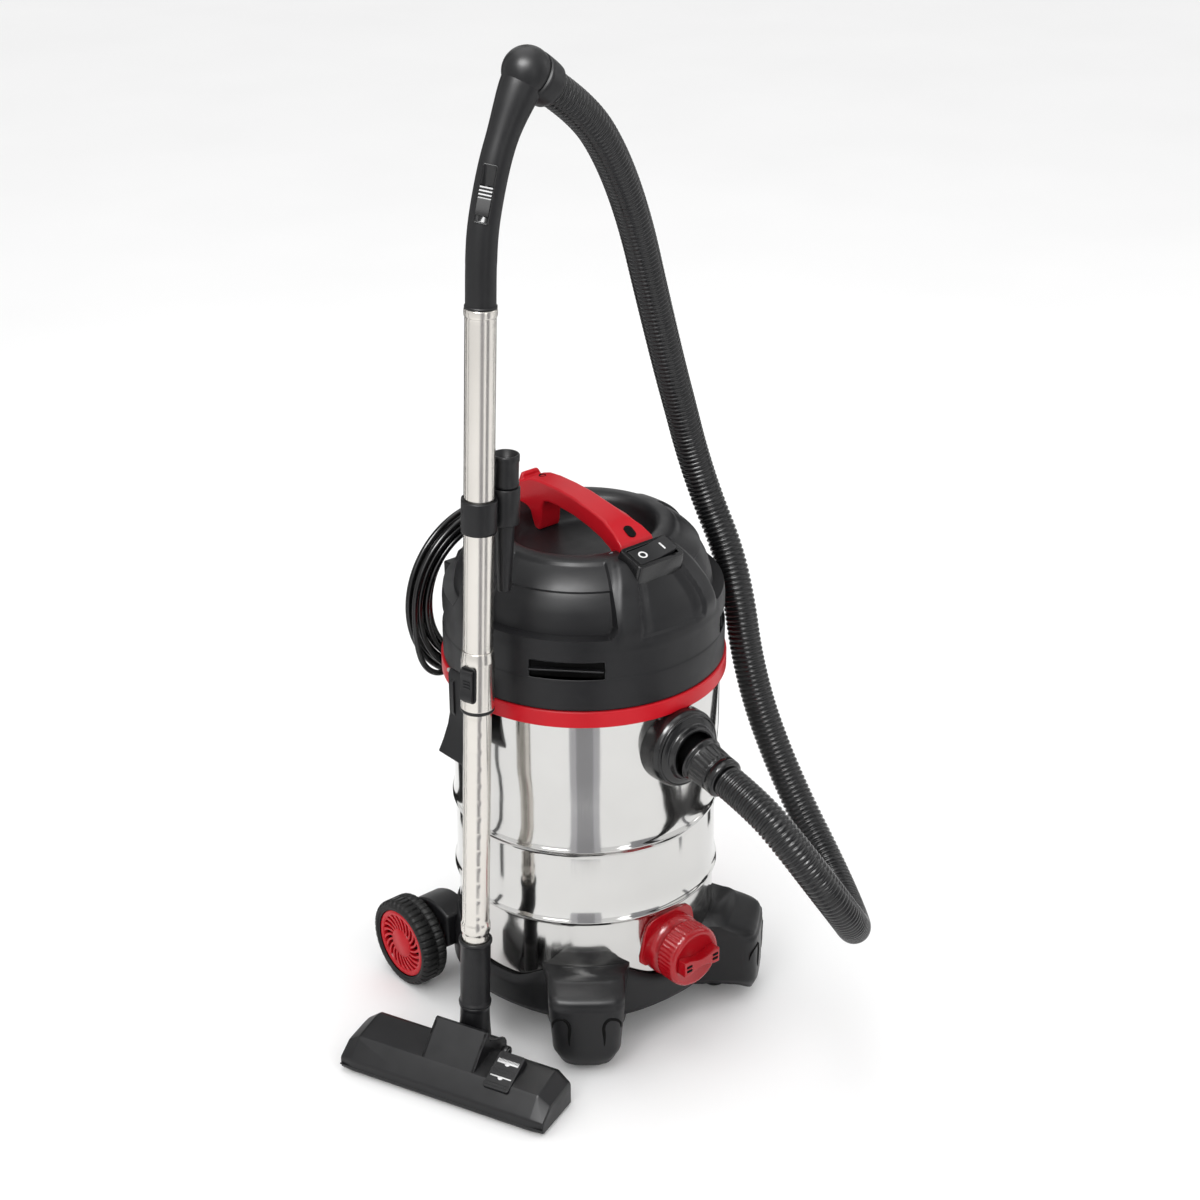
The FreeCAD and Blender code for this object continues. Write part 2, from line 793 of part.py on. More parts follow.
def handle():
    bar = slab("handle_bar", "YZ_Plane", [
        (-106, 656),
        (-104, 667),
        (-84, 681),
        (-60, 688.5),
        (-30, 695),
        (0, 699.5),
        (30, 701.5),
        (60, 701.5),
        (80, 699.5),
        (100, 691.5),
        (101, 699.5),
        (106.5, 699.5),
        (107, 687.5),
        (113, 681),
        (116, 671),
        (114, 662),
        (98, 650),
        (94, "bowl_z"),
        (64, "bowl_z"),
        (61, 668),
        (50, 678),
        (10, 676.5),
        (-40, 667),
        (-74, 655),
        (-80, 652),
    ], 34)
    flares = [slab("handle_flare", "YZ_Plane", [
        (-106, 656),
        (-104, 667),
        (-84, 681),
        (-72, 684.7),
        (-72, 655.7),
        (-80, 652),
    ], 42), slab("handle_tip", "YZ_Plane", [
        (-106, 656),
        (-104, 667),
        (-86, 679.6),
        (-86, 653),
    ], 52)]
    screws = [rod("handle_screw_front", 4, (0, -92, 670.5), (0, -92, 679)),
              rod("handle_screw_rear", 4, (0, 78, 693), (0, 78, 701))]
    holes = [rod("handle_hole_front", 4.1, (0, -92, 670.5), (0, -92, 700)),
             rod("handle_hole_rear", 4.1, (0, 78, 693), (0, 78, 720))]
    whole = joined("handle_solid", [bar, *flares])
    keep("handle", carved("handle_drilled", whole, [*holes, cover_form("handle_seat")]))
    keep("handle_screws", group("handle_screw_pair", screws))


def rear_fittings():
    keep("blow_port", turned("port_tube", [
        ("port_r", 150),
        ("port_r + 3.8", 150),
        ("port_r + 3.8", 180),
        ("port_r + 7", 180),
        ("port_r + 7", 184),
        ("port_r", 184),
    ], spot(0, 0, "port_z").multiply(REAR)))
    hook = slab("hook_solid", "YZ_Plane", [
        (170, 573),
        (224, 573),
        (228, 577),
        (228, 604),
        (222, 606),
        (222, 587),
        (170, 587),
    ], 30)
    keep("cable_hook", carved("hook_trimmed", hook, [cover_form("hook_seat")]))
    cone = turned("relief_cone", [
        ("cable_r", 505),
        ("cable_r + 1.5", 505),
        ("cable_r + 4", 532),
        ("cable_r + 4", 536),
        (0, 536),
        (0, 530),
        ("cable_r", 530),
    ], spot(-50, 198))
    foot = carved("gland_foot", block("gland_block", (-62, 150, 536), (-38, 210, 556)),
                  [drum_side("gland_skirt_curve", "skirt_r")])
    keep("strain_relief", joined("strain_relief_solid", [cone, foot]))


# ---------------------------------------------------------------- power cable

LEAD_ROUTE = [(-50, 198, 530), (-50, 198, 482), (-56, 200, 440), (-72, 203, 411)]
TAIL_ROUTE = [(104, 205, 470), (108, 205, 436), (106, 204, 402), (107, 203, 368), (107, 203, 338)]


def power_cable():
    cord("power_lead", LEAD_ROUTE, "cable_r")
    cord("power_tail", TAIL_ROUTE, "cable_r")
    keep("cable_coil", turned("coil_ring", [
        ("coil_bore_r", 4),
        ("coil_bore_r + 5", 0),
        ("coil_r - 5", 0),
        ("coil_r", 4),
        ("coil_r", "coil_depth - 4"),
        ("coil_r - 5", "coil_depth"),
        ("coil_bore_r + 5", "coil_depth"),
        ("coil_bore_r", "coil_depth - 4"),
    ], spot(0, "coil_y", "coil_z").multiply(REAR)))
    place = spot(107, 203, 0)
    core = turned("plug_core", [
        (0, 278),
        (17, 278),
        (18.5, 282),
        (18.5, 296),
        (15, 306),
        (9, 322),
        (6, 338),
        (0, 338),
    ], place)
    pins = [rod(f"plug_pin_{i}", 2.4, (x, 0, 259), (x, 0, 279), place)
            for i, x in enumerate((-9.5, 9.5))]
    keep("plug", joined("plug_solid", [core, *pins]))


# ---------------------------------------------------------------- hose

HOSE_MIDDLE = [
    (12, -368, 360), (38, -396, 307), (77, -399, 250), (120, -375, 201), (163, -330, 176),
    (197, -276, 179), (215, -223, 208), (217, -178, 254), (213, -140, 311), (208, -107, 376),
    (206, -82, 446), (209, -63, 516), (217, -31, 573), (214, 6, 633), (199, 21, 700),
    (178, 19, 762), (152, 12, 826), (112, 0, 930), (64, -22, 1040), (5, -50, 1131),
]
HOSE_END_RUN = 58.0  # the hose leaves the cuff and the grip's mouth straight


def hose():
    start = [CUFF.multVec(point(0, 0, "cuff_length")),
             CUFF.multVec(point(0, 0, f"cuff_length + {HOSE_END_RUN}"))]
    end = [WAND.multVec(point(*mouth_point(SPEC["mouth_reach"] + run)))
           for run in (HOSE_END_RUN, 0)]
    cord("hose", start + HOSE_MIDDLE + end, "hose_r")


# ---------------------------------------------------------------- wand

def wand_tubes():
    keep("inner_tube", turned("inner_tube_ring", [
        ("inner_r - inner_wall", 166),
        ("inner_r", 166),
        ("inner_r", 198),
        ("inner_r + 1.5", 203),
        ("inner_r + 1.5", 213),
        ("inner_r", 218),
        ("inner_r", "inner_top"),
        ("inner_r - inner_wall", "inner_top"),
    ]), WAND)
    keep("wand_cuff", turned("wand_cuff_ring", [
        (14.5, 96.5),
        (20.5, 96.5),
        (20.5, 100),
        (18.6, 102),
        (18.8, 184),
        (21, 186),
        (21, 190),
        ("inner_r + 0.1", 190),
        ("inner_r + 0.1", 165.8),
        (14.5, 165.8),
    ]), WAND)
    keep("outer_tube", turned("outer_tube_ring", [
        ("tube_bore_r", "socket_low"),
        ("socket_r", "socket_low"),
        ("socket_r", "socket_low + 62"),
        ("tube_r", "socket_low + 76"),
        ("tube_r", "tube_top - 10"),
        ("tube_r + 1", "tube_top - 7"),
        ("tube_r + 1", "tube_top"),
        ("tube_bore_r", "tube_top"),
    ]), WAND)
    keep("tube_collar", turned("collar_ring", [
        ("inner_r + 0.1", "socket_low - 5"),
        ("socket_r + 0.3", "socket_low - 5"),
        ("socket_r + 0.3", "socket_low"),
        ("inner_r + 0.1", "socket_low"),
    ]), WAND)
    face = spot(axis=Z_AXIS, angle=-162)
    keep("tube_button", slab("button_solid", "XZ_Plane", [
        ("socket_r + 0.3", 527),
        (24, 527),
        (25.5, 533),
        (24.5, 556),
        (25.5, 566),
        ("socket_r + 0.3", 566),
    ], 15, face), WAND)


def tool_holder():
    collar = turned("holder_collar", [
        ("tube_r + 0.1", 737),
        ("tube_r + 3", 737),
        ("tube_r + 3", 775),
        ("tube_r + 0.1", 775),
    ])
    ring = turned("holder_ring", [
        (14.2, 737),
        (17.2, 737),
        (17.2, 782),
        (14.2, 782),
    ], spot("holder_x"))
    web = block("holder_web", (19, -5, 737), (23, 5, 775))
    keep("tool_holder", joined("holder_solid", [collar, ring, web]), WAND)
    keep("crevice_tool", turned("crevice_solid", [
        (6, 652),
        (8, 652),
        (13.8, 782.4),
        (16, 786),
        (16, 822),
        (13.5, 822),
        (11.5, 782),
    ], spot("holder_x")), WAND)


GRIP_ROUTE = [(0, 0, 1001), (0, 0, 1085), (14, 0, 1158), (38, 0, 1215), (60, 0, 1252)]


def pipe(name, route, radius):
    """A plain tube body along a rounded route, in the wand's frame."""
    points = [FreeCAD.Vector(*place) for place in route]
    path, _ = rounded_path(points)
    circle = Part.Circle(points[0], points[1] - points[0], number(radius))
    made = doc.addObject("Part::Feature", name)
    made.Shape = path.makePipeShell([Part.Wire(circle.toShape())], True, False)
    return made


def mouth_point(reach):
    """A point on the axis of the grip's mouth, that far from the elbow's centre."""
    slope = math.radians(SPEC["mouth_slope"])
    return (SPEC["elbow_x"] + reach * math.cos(slope), 0, SPEC["elbow_top"] - reach * math.sin(slope))


def grip():
    spigot = rod("grip_spigot", "tube_bore_r - 0.1", (0, 0, "tube_top - 45"), (0, 0, "tube_top + 1"))
    outside = pipe("grip_outside", GRIP_ROUTE, "grip_r")
    centre = ("elbow_x", 0, "elbow_top")
    bulge = ball("grip_bulge", "elbow_r", centre)
    mouth = rod("grip_mouth", "mouth_r", centre, mouth_point(SPEC["mouth_reach"]))
    solid = joined("grip_solid", [spigot, outside, bulge, mouth])
    air_way = pipe("grip_air_way", [(0, 0, 940), *GRIP_ROUTE[1:]], 14)
    mouth_bore = rod("grip_mouth_bore", 14, centre, mouth_point(SPEC["mouth_reach"] + 5))
    turn_bore = ball("grip_turn_bore", 15, centre)
    keep("grip", carved("grip_hollow", solid, [air_way, mouth_bore, turn_bore]), WAND)
    place = spot(3, 0, 1104, Y_AXIS, 8).multiply(spot(axis=Z_AXIS, angle=-150))
    keep("air_slider", slab("slider_solid", "XZ_Plane", [
        (18.3, 0),
        (20.2, 1),
        (19.6, 16),
        (20.4, 31),
        (18.3, 32),
    ], 15, place), WAND)


# ---------------------------------------------------------------- floor nozzle

def neck():
    cone = turned("neck_cone", [
        (14.5, 52),
        (20.5, 48),
        (18.5, 92),
        (20, 96),
        (14.5, 96),
    ], WAND)
    stub = turned("neck_stub", [
        (0, 38),
        (19, 38),
        (20.6, 50),
        (14.5, 54),
        (0, 54),
    ], WAND)
    barrel = rod("neck_barrel", "barrel_r", (-32.5, 0, "neck_z"), (32.5, 0, "neck_z"), NOZZLE)
    pin = rod("neck_pin", "neck_pin_r", (-41, 0, "neck_z"), (41, 0, "neck_z"), NOZZLE)
    keep("nozzle_neck", joined("neck_solid", [cone, stub, barrel, pin]))


def nozzle():
    width = "2*nozzle_half"
    roof = slab("nozzle_roof", "YZ_Plane", [
        (-88, 4),
        (-88, 23),
        (-66, 44),
        (-28, 50),
        (-13, 47),
        (-13, 4),
    ], width)
    saddle = slab("nozzle_saddle", "YZ_Plane", [
        (-80, 28),
        (-62, 48),
        (-45, 65),
        (-29, 80),
        (-24.5, 80),
        (-24.5, 66),
        (-8, 56),
        (8, 50),
        (16, 40),
        (14, 22),
        (-16, 10),
        (-60, 16),
    ], 76)
    tools = [
        block("neck_gap", (-33, -24, 12), (33, 40, 70)),
        rod("barrel_gap", "barrel_r + 1", (-33, 0, "neck_z"), (33, 0, "neck_z")),
        rod("neck_pin_bore", "neck_pin_r + running_gap", (-60, 0, "neck_z"), (60, 0, "neck_z")),
        block("nozzle_mouth", (-120, -66, -1), (120, -42, 26)),
        block("front_strip_slot", (-126, -81, -1), (126, -73, 16)),
        block("rear_strip_slot", (-126, -36, -1), (126, -28, 16)),
        block("pedal_well", (55, -77, 26), (93, -22, 60)),
    ]
    for index, x in enumerate((-104, 92)):
        tools.append(block(f"nozzle_wheel_well_{index}", (x, -27, -1), (x + 12, -11, 16)))
    hollow = carved("nozzle_cut", joined("nozzle_solid", [roof, saddle]), tools)
    pins = [rod(f"roller_pin_{index}", 1.5, (x - 6, -19, 7), (x + 6, -19, 7))
            for index, x in enumerate((-98, 98))]
    pins.append(rod("pedal_pin", "pedal_pin_r", (52, -47, 36), (96, -47, 36)))
    keep("nozzle_body", joined("nozzle_body_solid", [hollow, *pins]), NOZZLE)
    plate = block("sole_sheet", (-143, -86, 2.4), (143, -27.6, 4))
    openings = [
        block("sole_mouth", (-120, -66, 0), (120, -42, 6)),
        block("sole_front_slot", (-126, -81, 0), (126, -73, 6)),
        block("sole_rear_slot", (-126, -36, 0), (126, -28, 6)),
    ]
    keep("sole_plate", carved("sole_cut", plate, openings), NOZZLE)
    strips = [block("front_strip", (-125, -79.5, 0.4), (125, -74.5, 11)),
              block("rear_strip", (-125, -34.5, 0.4), (125, -29.5, 11))]
    keep("brush_strips", group("brush_pair", strips), NOZZLE)
    for index, name in enumerate(("far", "near")):
        x = (-98, 98)[index]
        wheel = rod(f"{name}_roller", "nozzle_wheel_r", (x - 4, -19, 7), (x + 4, -19, 7))
        bore = rod(f"{name}_roller_bore", 1.55, (x - 5, -19, 7), (x + 5, -19, 7))
        keep(f"{name}_nozzle_wheel", carved(f"{name}_roller_cut", wheel, [bore]), NOZZLE)
    rocker = slab("pedal_solid", "YZ_Plane", [
        (-73, 31),
        (-75, 38),
        (-30, 60),
        (-26.5, 55),
        (-30, 44),
        (-40, 30),
        (-52, 29),
    ], 35, spot(74))
    pivot = rod("pedal_bore", "pedal_pin_r + running_gap", (52, -47, 36), (96, -47, 36))
    keep("nozzle_pedal", carved("pedal_bored", rocker, [pivot]), NOZZLE)


# ---------------------------------------------------------------- build and write

drum()
base()
for side_name in SIDES:
    rear_wheel(side_name)
    caster(side_name)
inlet()
hose_cuff()
drain()
head_cover()
head_floor()
motor()
filter_parts()
for side_name in SIDES:
    latch(side_name)
latch_pins()
switch()
handle()
rear_fittings()
power_cable()
hose()
wand_tubes()
tool_holder()
grip()
neck()
nozzle()
doc.recompute()

failed = [item.Name for item in doc.Objects if {"Invalid", "Error"} & set(item.State)]
for item in kept:
    if item.Shape.isNull() or not item.Shape.isValid():
        failed.append(item.Label)
if failed:
    raise SystemExit(f"these objects failed: {failed}")

for item in kept:
    item.Shape.exportStep(f"parts/{item.Label}.step")
print(len(kept), "sub-parts written")
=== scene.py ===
"""Looks for the shop vacuum: every visible surface, its materials, the light and the camera."""
from math import cos, degrees, hypot, pi, radians, sin, sqrt

import bmesh
import bpy
from mathutils import Matrix, Vector


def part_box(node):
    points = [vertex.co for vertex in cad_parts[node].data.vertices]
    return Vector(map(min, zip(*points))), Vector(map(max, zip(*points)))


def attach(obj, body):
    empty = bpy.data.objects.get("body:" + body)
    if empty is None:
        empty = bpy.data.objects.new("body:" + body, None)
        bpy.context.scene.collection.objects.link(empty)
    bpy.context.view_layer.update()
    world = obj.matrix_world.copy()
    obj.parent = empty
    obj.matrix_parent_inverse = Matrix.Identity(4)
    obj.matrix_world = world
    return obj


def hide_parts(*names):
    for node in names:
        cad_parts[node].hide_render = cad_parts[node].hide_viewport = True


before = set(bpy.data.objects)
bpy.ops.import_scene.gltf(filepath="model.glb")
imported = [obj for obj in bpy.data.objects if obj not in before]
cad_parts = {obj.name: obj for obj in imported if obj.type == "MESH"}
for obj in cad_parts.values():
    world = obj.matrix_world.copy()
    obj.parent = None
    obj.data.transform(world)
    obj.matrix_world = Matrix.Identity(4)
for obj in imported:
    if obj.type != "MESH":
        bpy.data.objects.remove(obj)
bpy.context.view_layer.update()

MM = 0.001

# ---- frames, in metres

def move(x=0, y=0, z=0):
    """A move in millimetres."""
    return Matrix.Translation((x * MM, y * MM, z * MM))


def turn(angle, axis="Z"):
    """A turn in degrees."""
    return Matrix.Rotation(radians(angle), 4, axis)


band_low, band_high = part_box("rim_band")
WAND_LEAN = 2.54
NOZZLE_TURN = -68.3
DRUM = Matrix.Translation(((band_low.x + band_high.x) / 2, (band_low.y + band_high.y) / 2, 0))
WAND = DRUM @ move(-244.3, -68) @ turn(WAND_LEAN, "Y")
NOZZLE = DRUM @ move(-242.8, -68) @ turn(NOZZLE_TURN)
FRONT = turn(90, "X")  # local Z faces -Y
REAR = turn(-90, "X")  # local Z faces +Y
SIDE_ON = turn(90) @ turn(90, "X")  # local X faces +Y, local Y up, local Z +X


# ---- materials

def new_material(name, base, roughness, metallic=0.0):
    material = bpy.data.materials.new(name)
    material.use_nodes = True
    tree = material.node_tree
    shader = tree.nodes["Principled BSDF"]
    shader.inputs["Base Color"].default_value = (*base, 1)
    shader.inputs["Roughness"].default_value = roughness
    shader.inputs["Metallic"].default_value = metallic
    return material, tree, shader


def noise(tree, scale, detail=3.0, stretch=(1, 1, 1)):
    """Noise in the object's own space, stretched along an axis for brushed metal."""
    place = tree.nodes.new("ShaderNodeTexCoord")
    mapping = tree.nodes.new("ShaderNodeMapping")
    mapping.inputs["Scale"].default_value = stretch
    texture = tree.nodes.new("ShaderNodeTexNoise")
    texture.inputs["Scale"].default_value = scale
    texture.inputs["Detail"].default_value = detail
    tree.links.new(place.outputs["Object"], mapping.inputs["Vector"])
    tree.links.new(mapping.outputs["Vector"], texture.inputs["Vector"])
    return texture.outputs["Fac"]


def spread(tree, value, low, high):
    """The texture's value, spread between two numbers."""
    node = tree.nodes.new("ShaderNodeMapRange")
    node.inputs["From Min"].default_value = 0.3
    node.inputs["From Max"].default_value = 0.7
    node.inputs["To Min"].default_value = low
    node.inputs["To Max"].default_value = high
    tree.links.new(value, node.inputs["Value"])
    return node.outputs["Result"]


def tint(tree, value, dark, light):
    ramp = tree.nodes.new("ShaderNodeValToRGB")
    ramp.color_ramp.elements[0].position = 0.3
    ramp.color_ramp.elements[1].position = 0.7
    ramp.color_ramp.elements[0].color = (*dark, 1)
    ramp.color_ramp.elements[1].color = (*light, 1)
    tree.links.new(value, ramp.inputs["Fac"])
    return ramp.outputs["Color"]


def bumped(tree, shader, height, strength, distance):
    bump = tree.nodes.new("ShaderNodeBump")
    bump.inputs["Strength"].default_value = strength
    bump.inputs["Distance"].default_value = distance
    tree.links.new(height, bump.inputs["Height"])
    tree.links.new(bump.outputs["Normal"], shader.inputs["Normal"])


def moulded(name, base, roughness, grain=2600, depth=0.00012, strength=0.25, vary=0.12,
            gloss_level=0.5):
    """Moulded plastic or rubber: fine spark grain, faint cloudy colour and gloss changes."""
    material, tree, shader = new_material(name, base, roughness)
    shader.inputs["Specular IOR Level"].default_value = gloss_level
    cloud = noise(tree, 14, 4)
    dark = [c * (1 - vary) for c in base]
    light = [min(1, c * (1 + vary)) for c in base]
    tree.links.new(tint(tree, cloud, dark, light), shader.inputs["Base Color"])
    gloss = spread(tree, noise(tree, 38, 5), roughness * 0.88, min(1, roughness * 1.14))
    tree.links.new(gloss, shader.inputs["Roughness"])
    bumped(tree, shader, noise(tree, grain, 2), strength, depth)
    return material


def brushed(name, base, roughness, stretch, scale=900, strength=0.06):
    """Brushed or drawn metal, its lines running across the stretched axis."""
    material, tree, shader = new_material(name, base, roughness, 1.0)
    lines = noise(tree, scale, 4, stretch)
    tree.links.new(spread(tree, lines, roughness * 0.75, roughness * 1.3),
                   shader.inputs["Roughness"])
    dark = [c * 0.93 for c in base]
    tree.links.new(tint(tree, noise(tree, 9, 3), dark, base), shader.inputs["Base Color"])
    bumped(tree, shader, lines, strength, 0.0001)
    return material


BLACK = moulded("satin_black_plastic", (0.0075, 0.0075, 0.0085), 0.40, gloss_level=0.34)
HEAD_BLACK = moulded("grained_black_plastic", (0.008, 0.008, 0.0092), 0.40, grain=1900, strength=0.45,
                     gloss_level=0.30)
# Near-black and matte: painted shade for holes, pockets, grooves and the spaces behind slots and spokes.
PAINTED_SHADE = moulded("painted_shade_recess", (0.002, 0.002, 0.002), 0.7, gloss_level=0.1)
GLOSSY = moulded("glossy_black_plastic", (0.005, 0.005, 0.0055), 0.2, strength=0.06)
HOSE_BLACK = moulded("hose_plastic", (0.006, 0.006, 0.0066), 0.24, grain=900, strength=0.05)
RED = moulded("glossy_red_plastic", (0.50, 0.006, 0.014), 0.32, grain=1500, strength=0.12, vary=0.06,
              gloss_level=0.22)
DEEP_RED = moulded("translucent_red_plastic", (0.34, 0.002, 0.007), 0.22, grain=900, strength=0.1,
                   gloss_level=0.5)
RUBBER = moulded("tyre_rubber", (0.007, 0.007, 0.007), 0.58, grain=1200, strength=0.4, gloss_level=0.3)
GREY = moulded("grey_plastic", (0.16, 0.20, 0.23), 0.4)
WHITE = moulded("white_print", (0.85, 0.85, 0.85), 0.5, vary=0.03)
BRISTLE = moulded("bristles", (0.012, 0.012, 0.012), 0.8, grain=3000, strength=0.8)
PAPER = moulded("filter_paper", (0.72, 0.68, 0.58), 0.9, grain=700, strength=0.5)
MOTOR_GREY = moulded("motor_paint", (0.09, 0.09, 0.1), 0.5)
STEEL = brushed("polished_drum_steel", (0.63, 0.625, 0.61), 0.09, (1, 1, 0.02), strength=0.012)
TUBE = brushed("drawn_tube_steel", (0.72, 0.69, 0.645), 0.20, (0.4, 0.4, 8), 260, 0.04)
ZINC = brushed("zinc_plate", (0.62, 0.62, 0.60), 0.35, (1, 1, 1))

MADE_OF = (
    (STEEL, "drum sole_plate"), (TUBE, "inner_tube outer_tube"), (MOTOR_GREY, "motor"),
    (RED, "rim_band float_ball left_wheel_disc right_wheel_disc handle"), (GREY, "tube_button"),
    (ZINC, "rear_axle left_caster_pin right_caster_pin latch_pins handle_screws"),
    (RUBBER, "inlet_gasket lid_gasket left_tyre right_tyre"), (DEEP_RED, "drain_port drain_cap"),
    (PAPER, "filter_cartridge"), (BRISTLE, "brush_strips"), (HEAD_BLACK, "head_cover"),
    (GLOSSY, "hose_cuff inlet_flange plug"),
)
NODE_MATERIALS = {name: material for material, names in MADE_OF for name in names.split()}
for node_name, node_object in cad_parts.items():
    node_object.data.materials.clear()
    node_object.data.materials.append(NODE_MATERIALS.get(node_name, BLACK))


# ---- ways to make a piece

def in_scene(name, data):
    """A new object with this data, put in the scene."""
    made = bpy.data.objects.new(name, data)
    bpy.context.scene.collection.objects.link(made)
    return made


def piece(name, verts, faces, material, body, place=DRUM, replaces=(), slot=None,
          bevel=0.0, smooth=True, crease=None):
    """A mesh piece from points in millimetres, placed and riding on a CAD body."""
    data = bpy.data.meshes.new(name)
    data.from_pydata([Vector(v) * MM for v in verts], [], faces)
    data.validate()
    data.materials.append(material)
    data.transform(place)
    edit = bmesh.new()
    edit.from_mesh(data)
    bmesh.ops.recalc_face_normals(edit, faces=edit.faces)
    edit.to_mesh(data)
    edit.free()
    made = in_scene(name, data)
    if smooth:
        data.shade_smooth()
    if crease:
        data.set_sharp_from_angle(angle=radians(crease))
    if bevel:
        rounding = made.modifiers.new("rounding", "BEVEL")
        rounding.width = bevel * MM
        rounding.segments = 3
        rounding.limit_method = "ANGLE"
        rounding.angle_limit = radians(32)
        rounding.harden_normals = True
    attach(made, body)
    if replaces:
        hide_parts(*replaces)
    return made


def circle(count):
    """Angles at even steps round a circle."""
    return [2 * pi * k / count for k in range(count)]


def normals(line):
    """The unit normal, on the right, at each point of a flat line."""
    result = []
    for (x0, y0), (x1, y1) in zip(line[:1] + line[:-1], line[1:] + line[-1:]):
        run = hypot(x1 - x0, y1 - y0) or 1
        result.append(((y1 - y0) / run, (x0 - x1) / run))
    return result


def slab_faces(count):
    """The faces of a slab, given its lower outline's points and then its upper outline's."""
    faces = [tuple(reversed(range(count))), tuple(range(count, 2 * count))]
    for j in range(count):
        k = (j + 1) % count
        faces.append((j, k, k + count, j + count))
    return faces


def ring_grid(rings, closed=True, cap_start=False, cap_end=False):
    """Faces between rings of points that all have the same number of points."""
    count = len(rings[0])
    verts = [p for ring in rings for p in ring]
    faces = []
    steps = count if closed else count - 1
    for i in range(len(rings) - 1):
        for j in range(steps):
            k = (j + 1) % count
            faces.append((i * count + j, i * count + k, (i + 1) * count + k, (i + 1) * count + j))
    if cap_start:
        faces.append(tuple(reversed(range(count))))
    if cap_end:
        faces.append(tuple((len(rings) - 1) * count + j for j in range(count)))
    return verts, faces


def lathe(name, profile, material, body, place=DRUM, segments=96, shape=None, **more):
    """A profile of (radius, height) turned about local Z. shape(angle, radius, height) moves points."""
    rings = []
    for radius, height in profile:
        ring = []
        for angle in circle(segments):
            r, h = shape(angle, radius, height) if shape else (radius, height)
            ring.append((r * cos(angle), r * sin(angle), h))
        rings.append(ring)
    verts, faces = ring_grid(rings)
    return piece(name, verts, faces, material, body, place, **more)


def plate(name, outline, low, high, material, body, place=DRUM, **more):
    """An outline of (x, y) points made solid between two heights of local Z."""
    verts = [(x, y, z) for z in (low, high) for x, y in outline]
    return piece(name, verts, slab_faces(len(outline)), material, body, place, **more)


def rounded(width, depth, radius, steps=5, centre=(0, 0)):
    """A rectangle with round corners, as an outline."""
    points = []
    corners = ((1, 1, 0), (-1, 1, 90), (-1, -1, 180), (1, -1, 270))
    for sx, sy, start in corners:
        cx = centre[0] + sx * (width / 2 - radius)
        cy = centre[1] + sy * (depth / 2 - radius)
        for i in range(steps + 1):
            angle = radians(start + 90 * i / steps)
            points.append((cx + radius * cos(angle), cy + radius * sin(angle)))
    return points


def block(name, low, high, material, body, place=DRUM, bevel=1.0, **more):
    outline = [(low[0], low[1]), (high[0], low[1]), (high[0], high[1]), (low[0], high[1])]
    return plate(name, outline, low[2], high[2], material, body, place, bevel=bevel, **more)


def blend_steps(points, steps):
    """Catmull-Rom points through a few given ones."""
    ends = [points[0]] + list(points) + [points[-1]]
    result = []
    for a, b, c, d in zip(ends, ends[1:], ends[2:], ends[3:]):
        for i in range(steps):
            t = i / steps
            result.append(tuple(
                0.5 * (2 * q + (r - p) * t + (2 * p - 5 * q + 4 * r - s) * t * t
                       + (3 * q - p - 3 * r + s) * t ** 3)
                for p, q, r, s in zip(a, b, c, d)))
    result.append(tuple(points[-1]))
    return result


def step(edge0, edge1, value):
    """0 before the first edge, 1 after the second, smooth between."""
    t = min(1, max(0, (value - edge0) / (edge1 - edge0)))
    return t * t * (3 - 2 * t)


def sector(angle, middle, half, edge):
    """1 inside a sector round the drum's middle line, 0 outside, angles in degrees."""
    away = abs((angle - middle + 180) % 360 - 180)
    return 1 - step(half - edge, half + edge, away)


def wall_depth(radius, across):
    """How far out a round wall is, at a distance to one side of its middle."""
    return sqrt(max(0, radius ** 2 - across ** 2))


# ---- cords

def route_line(name, points):
    """The smooth NURBS line of a route, whose points are in metres in the row frame."""
    curve = bpy.data.curves.new(name, "CURVE")
    curve.dimensions = "3D"
    curve.resolution_u = 12
    spline = curve.splines.new("NURBS")
    spline.points.add(len(points) - 1)
    for held, point in zip(spline.points, points):
        held.co = (*point, 1)
    spline.order_u = 3
    spline.use_endpoint_u = True
    return curve


def followed(curve):
    """The points that a route's smooth line goes through."""
    carrier = bpy.data.objects.new(curve.name + "_line", curve)
    line = bpy.data.meshes.new_from_object(carrier)
    points = [v.co.copy() for v in line.vertices]
    bpy.data.objects.remove(carrier)
    bpy.data.meshes.remove(line)
    return points


def evenly(points, spacing):
    """Points at even steps along a line, with the line's direction there."""
    result = [(points[0].copy(), (points[1] - points[0]).normalized())]
    travelled = 0.0
    target = spacing
    for a, b in zip(points, points[1:]):
        run = (b - a).length
        while run > 0 and target <= travelled + run:
            result.append((a.lerp(b, (target - travelled) / run), (b - a).normalized()))
            target += spacing
        travelled += run
    result.append((points[-1].copy(), (points[-1] - points[-2]).normalized()))
    return result, travelled


def at(place, x, y, z):
    return place @ Vector((x * MM, y * MM, z * MM))


INLET_HEIGHT = 424
CUFF = DRUM @ move(0, -206, INLET_HEIGHT) @ turn(102, "X")
MOUTH_SLOPE = 32
HOSE_PITCH = 6.4
HOSE_VALLEY = 18.8
HOSE_RIDGE = 2.2


def mouth_point(reach):
    slope = radians(MOUTH_SLOPE)
    return at(WAND, 60 + reach * cos(slope), 0, 1252 - reach * sin(slope))


HOSE_MIDDLE = [
    (12, -368, 360), (38, -396, 307), (77, -399, 250), (120, -375, 201), (163, -330, 176),
    (197, -276, 179), (215, -223, 208), (217, -178, 254), (213, -140, 311), (208, -107, 376),
    (206, -82, 446), (209, -63, 516), (217, -31, 573), (214, 6, 633), (199, 21, 700),
    (178, 19, 762), (152, 12, 826), (112, 0, 930), (64, -22, 1040), (5, -50, 1131),
]
HOSE_ROUTE = ([at(CUFF, 0, 0, 60), at(CUFF, 0, 0, 118)] + [at(DRUM, *p) for p in HOSE_MIDDLE]
              + [mouth_point(94), mouth_point(36)])


